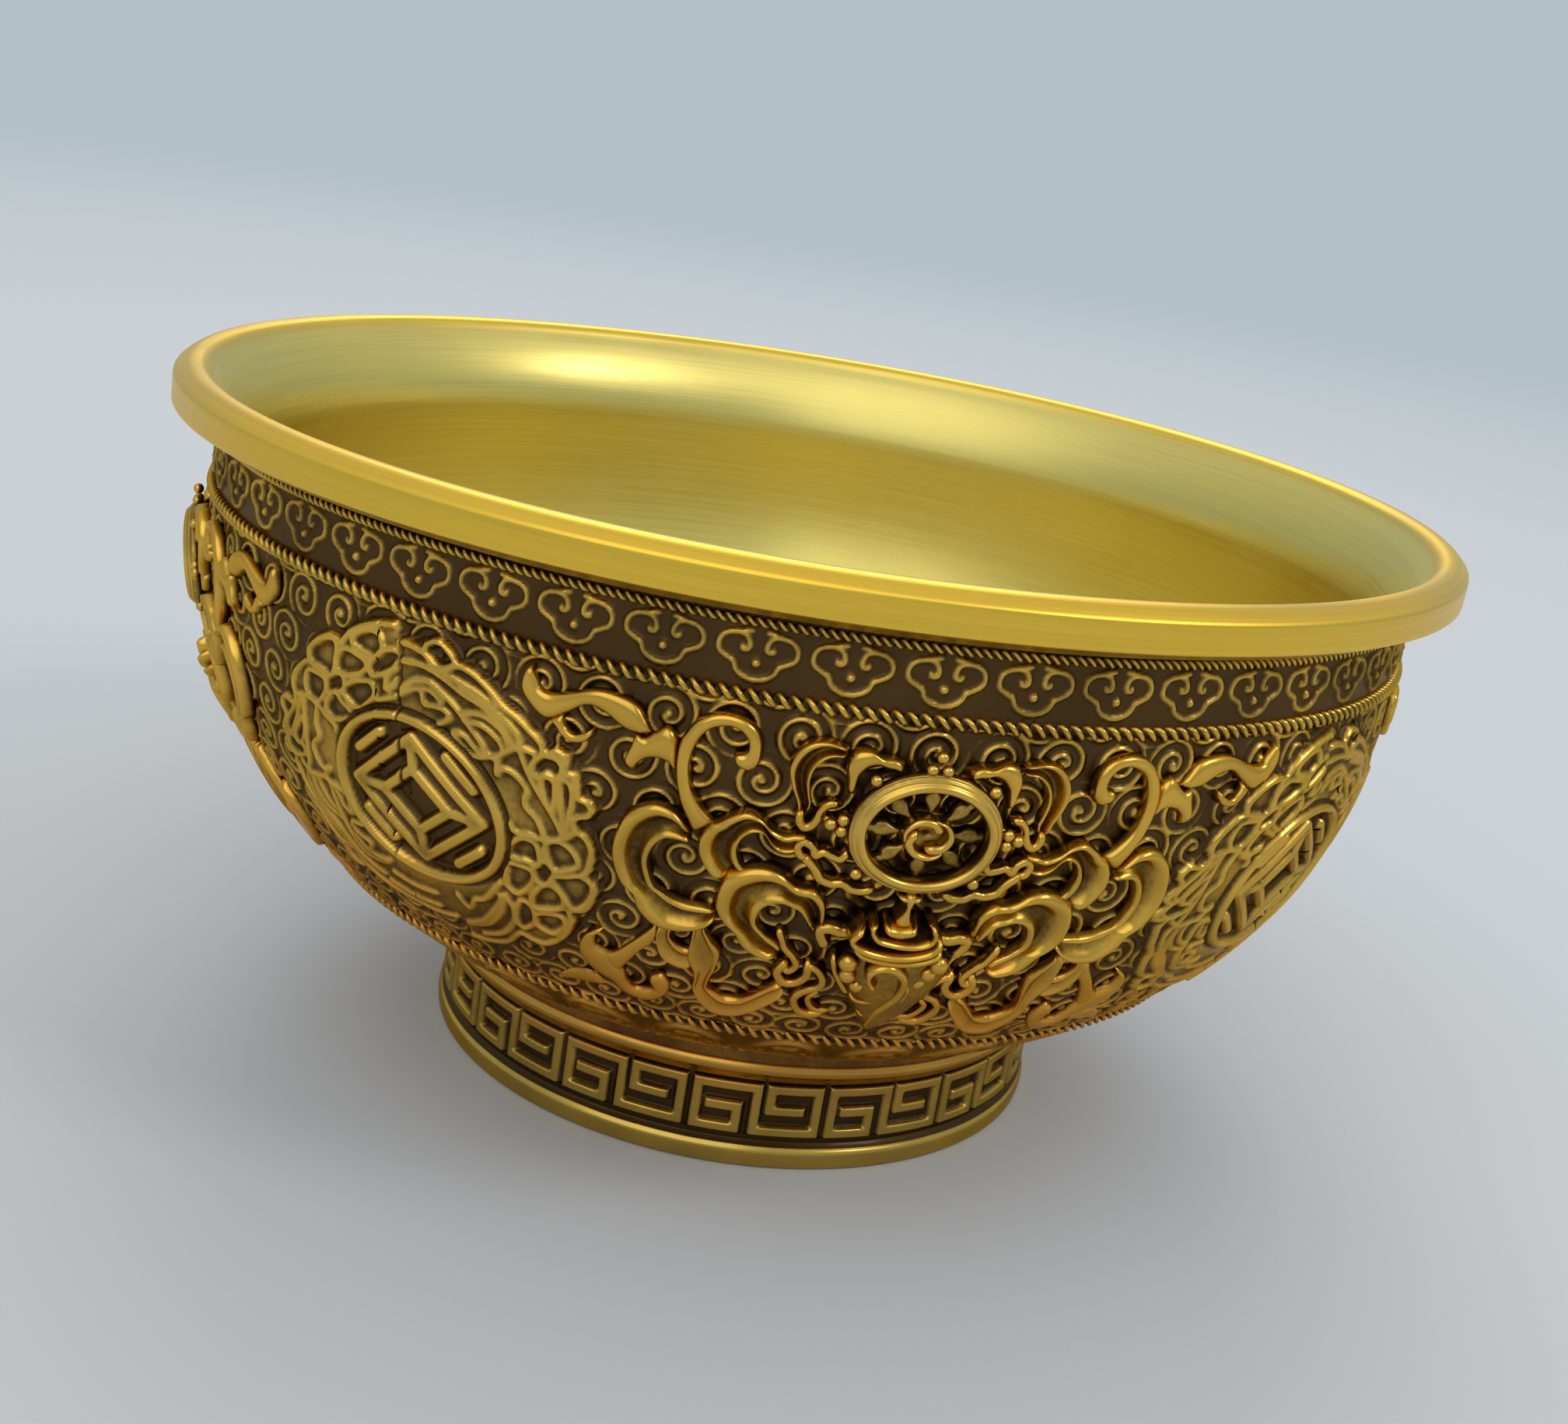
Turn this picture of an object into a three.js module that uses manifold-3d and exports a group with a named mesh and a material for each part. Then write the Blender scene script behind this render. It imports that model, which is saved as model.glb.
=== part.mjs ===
// An antiqued brass bowl with cast relief, built as the maker puts it together.
// A spun liner with a heavy rim drops into a cast sleeve and a lotus cup on a key fret foot,
// three twisted wires cover the joints, and four groups of high relief castings are soldered
// to the sleeve. Millimetres, +Z up, z = 0 where the foot rests, the first wheel faces -Y.
import * as THREE from 'three';
import { mergeGeometries, mergeVertices } from 'three/addons/utils/BufferGeometryUtils.js';
import Module from 'manifold-3d';

// Foot ring
const footRadius = 28.8;
const footHeight = 10.5;
const footWall = 2.8;
const footBeadHeight = 2.1;
const footBeadProud = 0.3;
const fretBandHeight = 6.2;
const fretDepth = 0.7;
const fretBar = 0.95;
const fretUnits = 15;
const fretGap = 0.75;
const footSteps = 2 * fretUnits;
const footTurn = -5;

// Body of the bowl: one superellipse from the lotus cup's neck up to the band
const neckOverhang = 0.8;
const neckRadius = footRadius + neckOverhang;
const neckHeight = 1;
const lotusHeight = 9.3;
const bellyHeight = 30.2;
const bandHeight = 4.9;
const bodyRadius = 53.4;
const squareness = 2.3;
const lotusWall = 0.9;
const sleeveWall = 0.9;
const linerWall = 1.2;
const fitGap = 0.3;
const seatDraft = 0.05;

// Rim of the liner
const rimRadius = 57.5;
const rimNeckHeight = 0.3;
const rimCove = 1.4;
const rimFaceHeight = 2.15;
const rimCrestInset = 0.85;
const rimCrestRise = 0.85;
const rimBevelInset = 1.8;
const rimBevelDrop = 0.85;
const rimFlareDepth = 4;

// Twisted wire trim
const lowerWire = 1.2;
const middleWire = 1.1;
const upperWire = 0.8;
const wireProud = 0.65;
const wireDrop = 0.15;
const wireSteps = 40;

// Lotus petals
const petals = 30;
const petalRise = 0.7;
const petalTipDrop = 1.4;

// Band of cloud heads under the rim
const heads = 52;
const headTurn = -0.43;
const headLobe = 1.25;
const headSpread = 1.5;
const headFoot = 1.35;
const headLift = 0.4;
const headRise = 0.5;

// Roundels between the panels
const panels = 4;
const roundelUp = bellyHeight * 0.63;
const roundelWidth = 16.2;
const roundelHeight = bellyHeight * 0.447;
const roundelBar = 1.2;
const roundelRise = 0.9;
const latticeBar = 1;
const wreathReach = 1.7;
const wreathRise = 0.45;
const wreathLobes = 10;
const wreathRib = 0.9;
const blossomReach = 3.4;
const blossomPetals = 5;

// Wheel, shell and scrollwork of a panel, heights measured up the wall from the lower wire.
// The scroll points count the belly's height as so many units.
const reliefRise = 1.3;
const wheelHeight = bellyHeight * 0.823;
const wheelWidth = 10.6;
const wheelTall = bellyHeight * 0.3;
const wheelTyre = 1;
const wheelRise = 2.4;
const wheelHub = 1.7;
const spokes = 8;
const spokeWidth = 1.1;
const spokeRise = 1.4;
const stemLength = 2.3;
const stemWidth = 1.3;
const finialHeight = 2;
const finialWidth = 2.2;
const shellTop = bellyHeight * 0.586;
const shellLength = bellyHeight * 0.427;
const shellHalfWidth = 4.4;
const shellRise = 2.3;
const scrollUnits = 30.2;
const scrollUnit = bellyHeight / scrollUnits;

// Heights that follow from the stack
const lotusTop = footHeight + lotusHeight;
const bellyTop = lotusTop + bellyHeight;
const sleeveTop = bellyTop + bandHeight;
const rimUnderside = sleeveTop + rimNeckHeight;
const rimFaceBottom = rimUnderside + rimCove;
const rimFaceTop = rimFaceBottom + rimFaceHeight;
const neckTop = footHeight + neckHeight;
const wallGap = fitGap + sleeveWall;
const steps = heads;
const stepAngle = 2 * Math.PI / steps;
const facetStart = THREE.MathUtils.degToRad(headTurn) + stepAngle / 2;
const baseTurn = THREE.MathUtils.degToRad(footTurn);

const wasm = await Module();
wasm.setup();
const bowl = new THREE.Group();

function brass(colour, roughness) {
  return new THREE.MeshStandardMaterial({ color: colour, roughness, metalness: 1 });
}
const polished = brass(0xd9a03c, 0.28);
const antiqued = brass(0x9a6f2e, 0.42);
const coppery = brass(0xa8662f, 0.45);

// Closed mesh with shared vertices and no collapsed triangles
function welded(geometry) {
  const bare = geometry.clone();
  bare.deleteAttribute('normal');
  bare.deleteAttribute('uv');
  const merged = mergeVertices(bare, 1e-4);
  const corners = merged.index.array;
  const kept = [];
  for (let i = 0; i < corners.length; i += 3) {
    const [a, b, c] = [corners[i], corners[i + 1], corners[i + 2]];
    if (a !== b && b !== c && c !== a) kept.push(a, b, c);
  }
  merged.setIndex(kept);
  return merged;
}

function asSolid(geometry) {
  const shape = welded(geometry);
  return new wasm.Manifold(new wasm.Mesh({
    numProp: 3,
    vertProperties: new Float32Array(shape.attributes.position.array),
    triVerts: new Uint32Array(shape.index.array),
  }));
}

function asGeometry(solid) {
  const mesh = solid.getMesh();
  const geometry = new THREE.BufferGeometry();
  geometry.setAttribute('position', new THREE.BufferAttribute(mesh.vertProperties, 3));
  geometry.setIndex(new THREE.BufferAttribute(mesh.triVerts, 1));
  return geometry;
}

function joined(geometries) {
  return asGeometry(geometries.map(asSolid).reduce((sum, next) => sum.add(next)));
}

function addPiece(name, geometry, material) {
  const shape = welded(geometry);
  shape.computeVertexNormals();
  const piece = new THREE.Mesh(shape, material);
  piece.name = name;
  bowl.add(piece);
}

// Surface turned from a profile of [radius, height] points that runs anticlockwise
function turnedSurface(profile, segments = steps, start = facetStart) {
  const points = profile.map(([r, z]) => new THREE.Vector2(r, z));
  return new THREE.LatheGeometry(points, segments, start).rotateX(Math.PI / 2);
}

// Ring turned from such a profile closed on itself
function turned(profile, segments, start) {
  return turnedSurface([...profile, profile[0]], segments, start);
}

// Radius of the body at a height, for a surface set in from the outside by inset
const bodyDepth = (bellyTop - neckTop)
  / (1 - (neckRadius / bodyRadius) ** squareness) ** (1 / squareness);

function bodyRadiusAt(z, inset = 0) {
  const drop = Math.max(0, bellyTop - z) / (bodyDepth - inset);
  return (bodyRadius - inset) * Math.max(0, 1 - drop ** squareness) ** (1 / squareness);
}

// Points of that surface from a low height to a high one, evenly turned along the superellipse
function bodyCurve(low, high, inset, count) {
  const depth = bodyDepth - inset;
  const power = 2 / squareness;
  const angleAt = (z) => Math.asin(
    Math.min(1, Math.max(0, (bellyTop - z) / depth)) ** (1 / power));
  const [from, to] = [angleAt(low), angleAt(high)];
  return Array.from({ length: count + 1 }, (_, i) => {
    const angle = from + (to - from) * i / count;
    return [(bodyRadius - inset) * Math.max(0, Math.cos(angle)) ** power,
      bellyTop - depth * Math.sin(angle) ** power];
  });
}

// Wall of the sleeve measured along its own surface, up from the lower wire
const wallSamples = 120;
const wall = [{ v: 0, r: bodyRadiusAt(lotusTop), z: lotusTop }];
for (let i = 1; i <= wallSamples; i += 1) {
  const z = lotusTop + (sleeveTop - lotusTop) * i / wallSamples;
  const r = bodyRadiusAt(z);
  const last = wall[i - 1];
  wall.push({ v: last.v + Math.hypot(r - last.r, z - last.z), r, z });
}

// Place on the wall: u across it, v up it and lift out of it, about the angle turn
function onWall(u, v, lift, turn = 0) {
  const last = wall.length - 1;
  const above = wall.findIndex((sample) => sample.v > v);
  const i = above < 0 ? last : Math.max(1, above);
  const [low, high] = [wall[i - 1], wall[i]];
  const part = (v - low.v) / (high.v - low.v);
  const r = low.r + (high.r - low.r) * part;
  const z = low.z + (high.z - low.z) * part;
  const slope = Math.hypot(high.r - low.r, high.z - low.z);
  const out = r + lift * (high.z - low.z) / slope;
  const up = z - lift * (high.r - low.r) / slope;
  const angle = turn + u / r;
  return new THREE.Vector3(out * Math.sin(angle), -out * Math.cos(angle), up);
}

function bentOntoWall(geometry, turn) {
  const places = geometry.attributes.position;
  for (let i = 0; i < places.count; i += 1) {
    const spot = onWall(places.getX(i), places.getY(i), places.getZ(i), turn);
    places.setXYZ(i, spot.x, spot.y, spot.z);
  }
  return geometry;
}

// Solid skinned over closed loops of points, capped at both ends unless it closes on itself
function lofted(loops, closed = false) {
  const size = loops[0].length;
  const places = loops.flat().flatMap((spot) => [spot.x, spot.y, spot.z]);
  const faces = [];
  const spans = closed ? loops.length : loops.length - 1;
  for (let i = 0; i < spans; i += 1) {
    const [here, there] = [i * size, ((i + 1) % loops.length) * size];
    for (let j = 0; j < size; j += 1) {
      const k = (j + 1) % size;
      faces.push(here + j, here + k, there + k, here + j, there + k, there + j);
    }
  }
  for (let j = 1; j < size - 1 && !closed; j += 1) {
    const end = (loops.length - 1) * size;
    faces.push(0, j + 1, j, end, end + j, end + j + 1);
  }
  const geometry = new THREE.BufferGeometry();
  geometry.setAttribute('position', new THREE.Float32BufferAttribute(places, 3));
  geometry.setIndex(faces);
  return geometry;
}

// Cast ribbon on the wall along points [u, v, width]: a flat back with a bevelled or ridged front
function ribbon(points, { base, rise, count, side = 1, turn = 0, closed = false, ridge = false }) {
  const spine = new THREE.CatmullRomCurve3(
    points.map(([u, v, width]) => new THREE.Vector3(u * side, v, width)), closed);
  const total = closed ? count - 1 : count;
  const loops = [];
  for (let i = 0; i <= total; i += 1) {
    const here = spine.getPoint(i / count);
    const along = spine.getTangent(i / count).setZ(0).normalize();
    const half = here.z / 2;
    const top = Math.max(half - (rise - base) * 0.4, half * 0.4);
    const corner = (offset, lift) => onWall(
      here.x + along.y * offset, here.y - along.x * offset, lift, turn);
    const front = ridge ? [corner(0, rise)] : [corner(-top, rise), corner(top, rise)];
    loops.push([corner(-half, base), ...front, corner(half, base)]);
  }
  return lofted(loops, closed);
}

function ellipseSpine(width, height, up, thickness, count) {
  return Array.from({ length: count }, (_, i) => {
    const angle = 2 * Math.PI * i / count;
    const [across, along] = [(width - thickness) / 2, (height - thickness) / 2];
    return [across * Math.cos(angle), up + along * Math.sin(angle), thickness];
  });
}

// Liner: a spun bowl 1.2 mm thick with a turned rim that overhangs the sleeve
function linerBowl() {
  const inset = wallGap;
  const inner = wallGap + linerWall;
  const underside = bellyTop - (bodyDepth - inset);
  const floor = bellyTop - (bodyDepth - inner);
  const outside = bodyCurve(underside, bellyTop, inset, 5);
  outside[0][0] = 0;
  const crest = rimFaceTop + rimCrestRise;
  const bevelFoot = rimFaceTop - rimBevelDrop;
  const throat = bodyRadius - inner;
  const mouth = rimRadius - rimBevelInset;
  const flareFoot = bevelFoot - rimFlareDepth;
  const flare = [0.75, 0.4].map((t) => [
    throat + (mouth - throat) * t ** 2, flareFoot + rimFlareDepth * t]);
  const inside = [...bodyCurve(floor, bellyTop, inner, 5), [throat, flareFoot]].reverse();
  inside[inside.length - 1][0] = 0;
  return turned([
    ...outside,
    [bodyRadius - inset, rimUnderside],
    [bodyRadius + rimCove, rimUnderside],
    [rimRadius, rimFaceBottom],
    [rimRadius, rimFaceTop],
    [rimRadius - rimCrestInset, crest],
    [mouth, bevelFoot],
    ...flare,
    ...inside,
  ]);
}

// Groove that seats a wire, as profile points from below it to above it
function wireSeat(height, wire, floorRadius) {
  const half = wire / 2 + fitGap;
  return [
    [bodyRadiusAt(height - half), height - half],
    [floorRadius, height - half + seatDraft],
    [floorRadius, height + half - seatDraft],
    [bodyRadiusAt(height + half), height + half],
  ];
}

function wireCentre(height, wire) {
  return bodyRadiusAt(height) + wireProud - wire / 2;
}

const lowerWireHeight = lotusTop - lowerWire / 2 - fitGap;
const middleWireHeight = bellyTop - middleWire / 2 - wireDrop;
const upperWireHeight = sleeveTop - upperWire / 2;

function wireRing(height, wire, rounds) {
  const centre = wireCentre(height, wire);
  const section = Array.from({ length: rounds }, (_, i) => {
    const angle = 2 * Math.PI * (i + 0.5) / rounds;
    return [centre + wire / 2 * Math.cos(angle), height + wire / 2 * Math.sin(angle)];
  });
  return turned(section, wireSteps);
}

// Sleeve: the cast skin of the bowl, with its cloud heads and roundels cast in one with it
function reliefSleeve() {
  const seat = wireCentre(middleWireHeight, middleWire) - middleWire / 2 - fitGap;
  const upperSeat = wireCentre(upperWireHeight, upperWire) - upperWire / 2 - fitGap;
  const belowSeat = middleWireHeight - middleWire / 2 - fitGap;
  const belowBand = wireSeat(middleWireHeight, middleWire, seat);
  const aboveBand = wireSeat(upperWireHeight, upperWire, upperSeat).slice(0, 2);
  const [bandLow, bandHigh] = [belowBand[3][1], aboveBand[0][1]];
  const skin = turnedSurface([
    ...aboveBand,
    [upperSeat, sleeveTop],
    [bodyRadius - sleeveWall, sleeveTop],
    ...bodyCurve(lotusTop, bellyTop, sleeveWall, 4).reverse(),
    ...bodyCurve(lotusTop, belowSeat, 0, 5).slice(0, -1),
    ...belowBand,
  ]);
  const facets = Array.from({ length: heads },
    (_, i) => bandFacet(bandLow, bandHigh, facetStart + (i + 0.5) * stepAngle));
  const bare = [skin, ...facets].map((surface) => {
    const copy = surface.index ? surface.toNonIndexed() : surface;
    copy.deleteAttribute('normal');
    copy.deleteAttribute('uv');
    return copy;
  });
  const cast = Array.from({ length: panels }, (_, i) => (i + 0.5) * 2 * Math.PI / panels)
    .flatMap((turn) => [...wreath(turn), ...roundel(turn)]);
  return joined([mergeGeometries(bare), ...cast]);
}

// Outline of a cloud head: two upper lobes over a wide lower one, each an arc between two angles
function cloudHeadOutline() {
  const lobe = (across, along, radius, from, to) => [0, 0.5, 1].map((t) => new THREE.Vector2(
    across + radius * Math.cos(from + (to - from) * t),
    along + radius * Math.sin(from + (to - from) * t)));
  return [
    ...lobe(headSpread, headLift, headLobe, -0.8, 1.6),
    ...lobe(-headSpread, headLift, headLobe, Math.PI - 1.6, Math.PI + 0.8),
    ...lobe(0, -headLift, headFoot, Math.PI + 0.5, 2 * Math.PI - 0.5),
  ];
}

// One flat facet of the band with a cloud head raised from it
function bandFacet(low, high, turn) {
  const flat = bodyRadius * Math.cos(stepAngle / 2);
  const half = bodyRadius * Math.sin(stepAngle / 2);
  const middle = (low + high) / 2;
  const tall = (high - low) / 2;
  const frame = [[-half, -tall], [half, -tall], [half, tall], [-half, tall]]
    .map(([x, y]) => new THREE.Vector2(x, y));
  const outline = cloudHeadOutline();
  const count = outline.length;
  const spot = (point, rise) => {
    const out = flat + rise;
    return [out * Math.sin(turn) + point.x * Math.cos(turn),
      -out * Math.cos(turn) + point.x * Math.sin(turn), middle + point.y];
  };
  const places = [
    ...frame.flatMap((point) => spot(point, 0)),
    ...outline.flatMap((point) => spot(point, 0)),
    ...outline.flatMap((point) => spot(point, headRise)),
  ];
  const faces = THREE.ShapeUtils.triangulateShape(frame, [outline]).flat();
  for (const face of THREE.ShapeUtils.triangulateShape(outline, [])) {
    faces.push(...face.map((corner) => corner + frame.length + count));
  }
  for (let i = 0; i < count; i += 1) {
    const [a, b] = [frame.length + i, frame.length + (i + 1) % count];
    faces.push(a, b, b + count, a, b + count, a + count);
  }
  const facet = new THREE.BufferGeometry();
  facet.setAttribute('position', new THREE.Float32BufferAttribute(places, 3));
  facet.setIndex(faces);
  return facet;
}

// Place on a roundel by its angle in degrees and its share of the size of the ring
function roundelPlace(angle, share, width) {
  const turn = THREE.MathUtils.degToRad(angle);
  return [roundelWidth / 2 * share * Math.cos(turn),
    roundelUp + roundelHeight / 2 * share * Math.sin(turn), width];
}

// Wreath round a roundel: a scalloped cloth with feather ribs, leaves and two blossoms on it
function wreath(turn) {
  const base = -sleeveWall / 2;
  const corners = 2 * wreathLobes;
  const inner = 1 - roundelBar / roundelWidth / 2;
  const loops = Array.from({ length: corners }, (_, i) => {
    const edge = wreathReach * (i % 2 ? 1 : 0.95);
    return [[inner, base], [inner, wreathRise], [edge, wreathRise], [edge + 0.04, base]].map(
      ([share, lift]) => onWall(...roundelPlace(360 * i / corners, share, lift), turn));
  });
  const ribs = [
    [[104, 1.2], [74, 1.34], [46, 1.14]],
    [[106, 1.4], [72, 1.54], [42, 1.34]],
    [[40, 1.64], [28, 1.4], [38, 1.12]],
    [[20, 1.62], [14, 1.36], [22, 1.1]],
    [[-44, 1.14], [-38, 1.4], [-54, 1.5]],
    [[-60, 1.12], [-68, 1.44], [-84, 1.48]],
  ];
  const half = [0, 180].flatMap((about) => [
    ...ribs.map((rib) => ribbon(
      rib.map(([angle, share]) => roundelPlace(angle + about, share, wreathRib)),
      { base, rise: roundelRise, count: 3, ridge: true, turn })),
    blossom(roundelPlace(about - 14, 1.4, roundelRise), turn),
  ]);
  return [lofted(loops, true), ...half];
}

// Blossom: five petals cut from one raised disc
function blossom([across, up, rise], turn) {
  const corners = 2 * blossomPetals;
  const loop = (lift) => Array.from({ length: corners }, (_, i) => {
    const angle = 2 * Math.PI * i / corners;
    const reach = blossomReach * (i % 2 ? 0.62 : 1);
    return onWall(across + reach * Math.cos(angle), up + reach * Math.sin(angle), lift, turn);
  });
  return lofted([loop(-sleeveWall / 2), loop(rise)]);
}

// Roundel: a raised ring round a lattice of two lozenges
function roundel(turn) {
  const shape = { base: -sleeveWall / 2, rise: roundelRise, closed: true, turn };
  const ring = ribbon(ellipseSpine(roundelWidth, roundelHeight, roundelUp, roundelBar, 10),
    { ...shape, count: 14 });
  const lozenges = [3, 8].map((bars) => ribbon(
    ellipseSpine(roundelWidth - bars * roundelBar, roundelHeight - bars * roundelBar,
      roundelUp, latticeBar, 4), { ...shape, count: 4 }));
  return [ring, ...lozenges];
}

// Lotus cup: a ring of keeled petals that carries the sleeve and the liner
function lotusCup() {
  const columns = 2 * petals;
  const seatRadius = wireCentre(lowerWireHeight, lowerWire) - lowerWire / 2 - fitGap;
  const seatFoot = lowerWireHeight - lowerWire / 2 - fitGap;
  const loops = [];
  for (let i = 0; i < columns; i += 1) {
    const keel = i % 2 === 0;
    const angle = baseTurn + 2 * Math.PI * i / columns;
    const tip = seatFoot - (keel ? 0 : petalTipDrop);
    const outside = [1, 0.7, 0.35, 0].map((t) => {
      const z = neckTop + (tip - neckTop) * t;
      const swell = keel ? petalRise * Math.sin(Math.PI * Math.min(1, 0.12 + t * 0.8)) : 0;
      return [bodyRadiusAt(z) + swell, z];
    });
    const inside = bodyCurve(footHeight, lotusTop, lotusWall, 2);
    const profile = [
      ...inside,
      [seatRadius, lotusTop],
      [seatRadius, seatFoot + seatDraft],
      ...outside,
      [neckRadius, footHeight],
    ];
    loops.push(profile.map(([r, z]) => new THREE.Vector3(
      r * Math.sin(angle), -r * Math.cos(angle), z)));
  }
  return lofted(loops, true);
}

// Key fret unit: one bar that coils in, crosses over and coils in again
function fretUnit(turn) {
  const length = 2 * Math.PI * footRadius / fretUnits - fretGap;
  const [half, bar] = [length / 2, fretBar];
  const tall = fretBandHeight - 2 * fretGap * 0.75;
  const post = bar * 0.75;
  const hole = half * 0.33;
  const [top, low] = [tall / 2, -tall / 2];
  const right = [
    [0, top], [-half, top], [-half, low], [-post * 1.2, low],
    [-post * 1.2, bar / 2], [-half + hole + post, bar / 2],
    [-half + hole + post, -bar / 2], [-post * 2.2, -bar / 2],
    [-post * 2.2, low + bar], [-half + post, low + bar],
    [-half + post, top - bar], [-post / 2, top - bar], [-post / 2, low],
  ];
  const left = right.slice(1).map(([x, y]) => [-x, -y]);
  const outline = new THREE.Shape([...right, ...left].slice(1).map(([x, y]) => new THREE.Vector2(x, y)));
  const depth = fretDepth * 2;
  const unit = new THREE.ExtrudeGeometry(outline, { depth, bevelEnabled: false });
  const places = unit.attributes.position;
  const middle = footBeadHeight + fretBandHeight / 2;
  for (let i = 0; i < places.count; i += 1) {
    const angle = turn + places.getX(i) / footRadius;
    const r = footRadius - 2 * fretDepth + places.getZ(i);
    places.setXYZ(i, r * Math.sin(angle), -r * Math.cos(angle), middle + places.getY(i));
  }
  return unit;
}

// Foot ring: a turned ring with a sunk band that holds the key fret
function footRing() {
  const bore = footRadius - footWall;
  const floor = footRadius - fretDepth;
  const bandTop = footBeadHeight + fretBandHeight;
  const ring = turned([
    [bore, 0],
    [footRadius - footBeadProud, 0],
    [footRadius + footBeadProud, footBeadHeight * 0.5],
    [footRadius, footBeadHeight],
    [floor, footBeadHeight + 0.1],
    [floor, bandTop - 0.1],
    [footRadius, bandTop],
    [neckRadius + footBeadProud, (bandTop + footHeight) / 2],
    [neckRadius, footHeight],
    [bore, footHeight],
  ], footSteps, baseTurn);
  const units = Array.from({ length: fretUnits },
    (_, i) => fretUnit(baseTurn + 2 * Math.PI * i / fretUnits));
  return joined([ring, ...units]);
}

// Wheel: a tyre, a domed hub and eight set-back spokes, with the stem that stands on the shell
function wheel(turn) {
  const base = fitGap;
  const tyre = ribbon(ellipseSpine(wheelWidth, wheelTall, wheelHeight, wheelTyre, 10),
    { base, rise: wheelRise, count: 14, closed: true, turn });
  const hub = bentOntoWall(new THREE.CylinderGeometry(wheelHub * 0.6, wheelHub, wheelRise - base, 7)
    .rotateX(Math.PI / 2).translate(0, wheelHeight, (wheelRise + base) / 2), turn);
  const slim = { base, rise: spokeRise, ridge: true, turn };
  const arms = Array.from({ length: spokes }, (_, i) => {
    const angle = 2 * Math.PI * (i + 0.5) / spokes;
    const [across, along] = [Math.cos(angle), Math.sin(angle)];
    const spot = (reach, width) => [across * reach * wheelWidth / 2,
      wheelHeight + along * reach * wheelTall / 2, width];
    return ribbon([spot(0.2, spokeWidth * 0.6), spot(0.92, spokeWidth)], { ...slim, count: 1 });
  });
  const low = wheelHeight - wheelTall / 2;
  const stem = ribbon([[0, low + wheelTyre / 2, stemWidth * 0.7],
    [0, low - stemLength * 0.5, stemWidth], [0, low - stemLength, stemWidth * 0.6]],
  { ...slim, count: 2 });
  const peak = wheelHeight + wheelTall / 2;
  const finial = ribbon([[0, peak - wheelTyre / 2, finialWidth * 0.7],
    [0, peak + finialHeight * 0.4, finialWidth], [0, peak + finialHeight, finialWidth * 0.25]],
  { ...slim, count: 2 });
  return joined([tyre, hub, ...arms, stem, finial]);
}

// Conch shell: a whorled top that swells and tapers to a point, flat on its back
function shell(turn) {
  const base = fitGap;
  const girth = [0.35, 0.72, 0.96, 1, 0.88, 0.64, 0.45, 0.25, 0.08];
  const loops = girth.map((share, i) => {
    const v = shellTop - shellLength * i / (girth.length - 1);
    const half = shellHalfWidth * share;
    const high = base + (shellRise - base) * Math.min(1, 0.35 + share * 0.7);
    return [[-1, 0], [-0.8, 0.6], [-0.3, 1], [0.3, 1], [0.8, 0.6], [1, 0]]
      .map(([across, out]) => onWall(across * half, v, base + (high - base) * out, turn));
  });
  return lofted(loops.reverse());
}

// Scrollwork beside the wheel: sprays of ribbon that touch and make one casting
function scrolls(side, turn) {
  const base = fitGap;
  const bands = [
    [8, [[-14.4, 21.7, 1.6], [-17.6, 22.4, 2.6], [-19.4, 20.2, 3.2], [-19, 17.6, 2.8],
      [-17.1, 15.4, 2.8], [-14.6, 14.5, 2.8], [-11.9, 15.5, 1.4]]],
    [8, [[-5.7, 16, 1.2], [-6.7, 17.9, 2], [-9, 18.8, 2.7], [-11, 17.6, 3.4],
      [-11, 15.4, 3.2], [-9.4, 13.6, 2.4], [-7.7, 12.7, 1.1]]],
    [7, [[-13.8, 14, 0.9], [-13, 10.8, 2], [-12.3, 7.6, 1.1], [-11.2, 5, 1.8],
      [-9, 4.9, 2.4], [-6.5, 8.2, 1.1]]],
    [8, [[-13.2, 28.3, 1.3], [-12.5, 29.4, 1], [-13.8, 30.8, 1], [-15.7, 30.5, 1.2],
      [-16.9, 28.4, 1.4], [-16.8, 25.8, 1.1], [-13.9, 21.6, 1.8]]],
    [7, [[-16.4, 14, 1.2], [-17.9, 9.6, 1.5], [-18.4, 6, 2.4], [-16.6, 3.5, 1.7],
      [-15, 5, 1.1]]],
    [5, [[-6.3, 29.9, 0.9], [-8.4, 29.7, 1.6], [-9, 27.8, 1.7], [-8.6, 25.2, 1],
      [-8.4, 22.6, 1]]],
  ];
  const leaves = [
    [5, [[-12.2, 19, 2], [-13.5, 21.3, 2.8], [-12.4, 23.3, 2], [-10.2, 22.9, 1.4],
      [-7.6, 23.1, 1.2]]],
    [5, [[-28.9, 31, 0.5], [-28.1, 29.6, 1.6], [-25.8, 29.4, 1.6], [-22.9, 30.1, 1.5],
      [-20, 28.6, 1.2], [-16.8, 27.6, 1.8]]],
    [3, [[-20.5, 10.6, 0.8], [-21.1, 8.3, 1.6], [-18.6, 6.2, 2]]],
    [3, [[-6.6, 29.7, 1], [-4.3, 29.7, 1.1], [-2.3, 29.2, 0.7]]],
  ];
  const sprays = [
    ...bands.map((band) => [...band, false]),
    ...leaves.map((leaf) => [...leaf, true]),
  ];
  const pieces = sprays.map(([count, points, ridge]) => ribbon(
    points.map((point) => point.map((length) => length * scrollUnit)),
    { base, rise: reliefRise, count, ridge, side, turn }));
  return joined(pieces);
}

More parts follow.
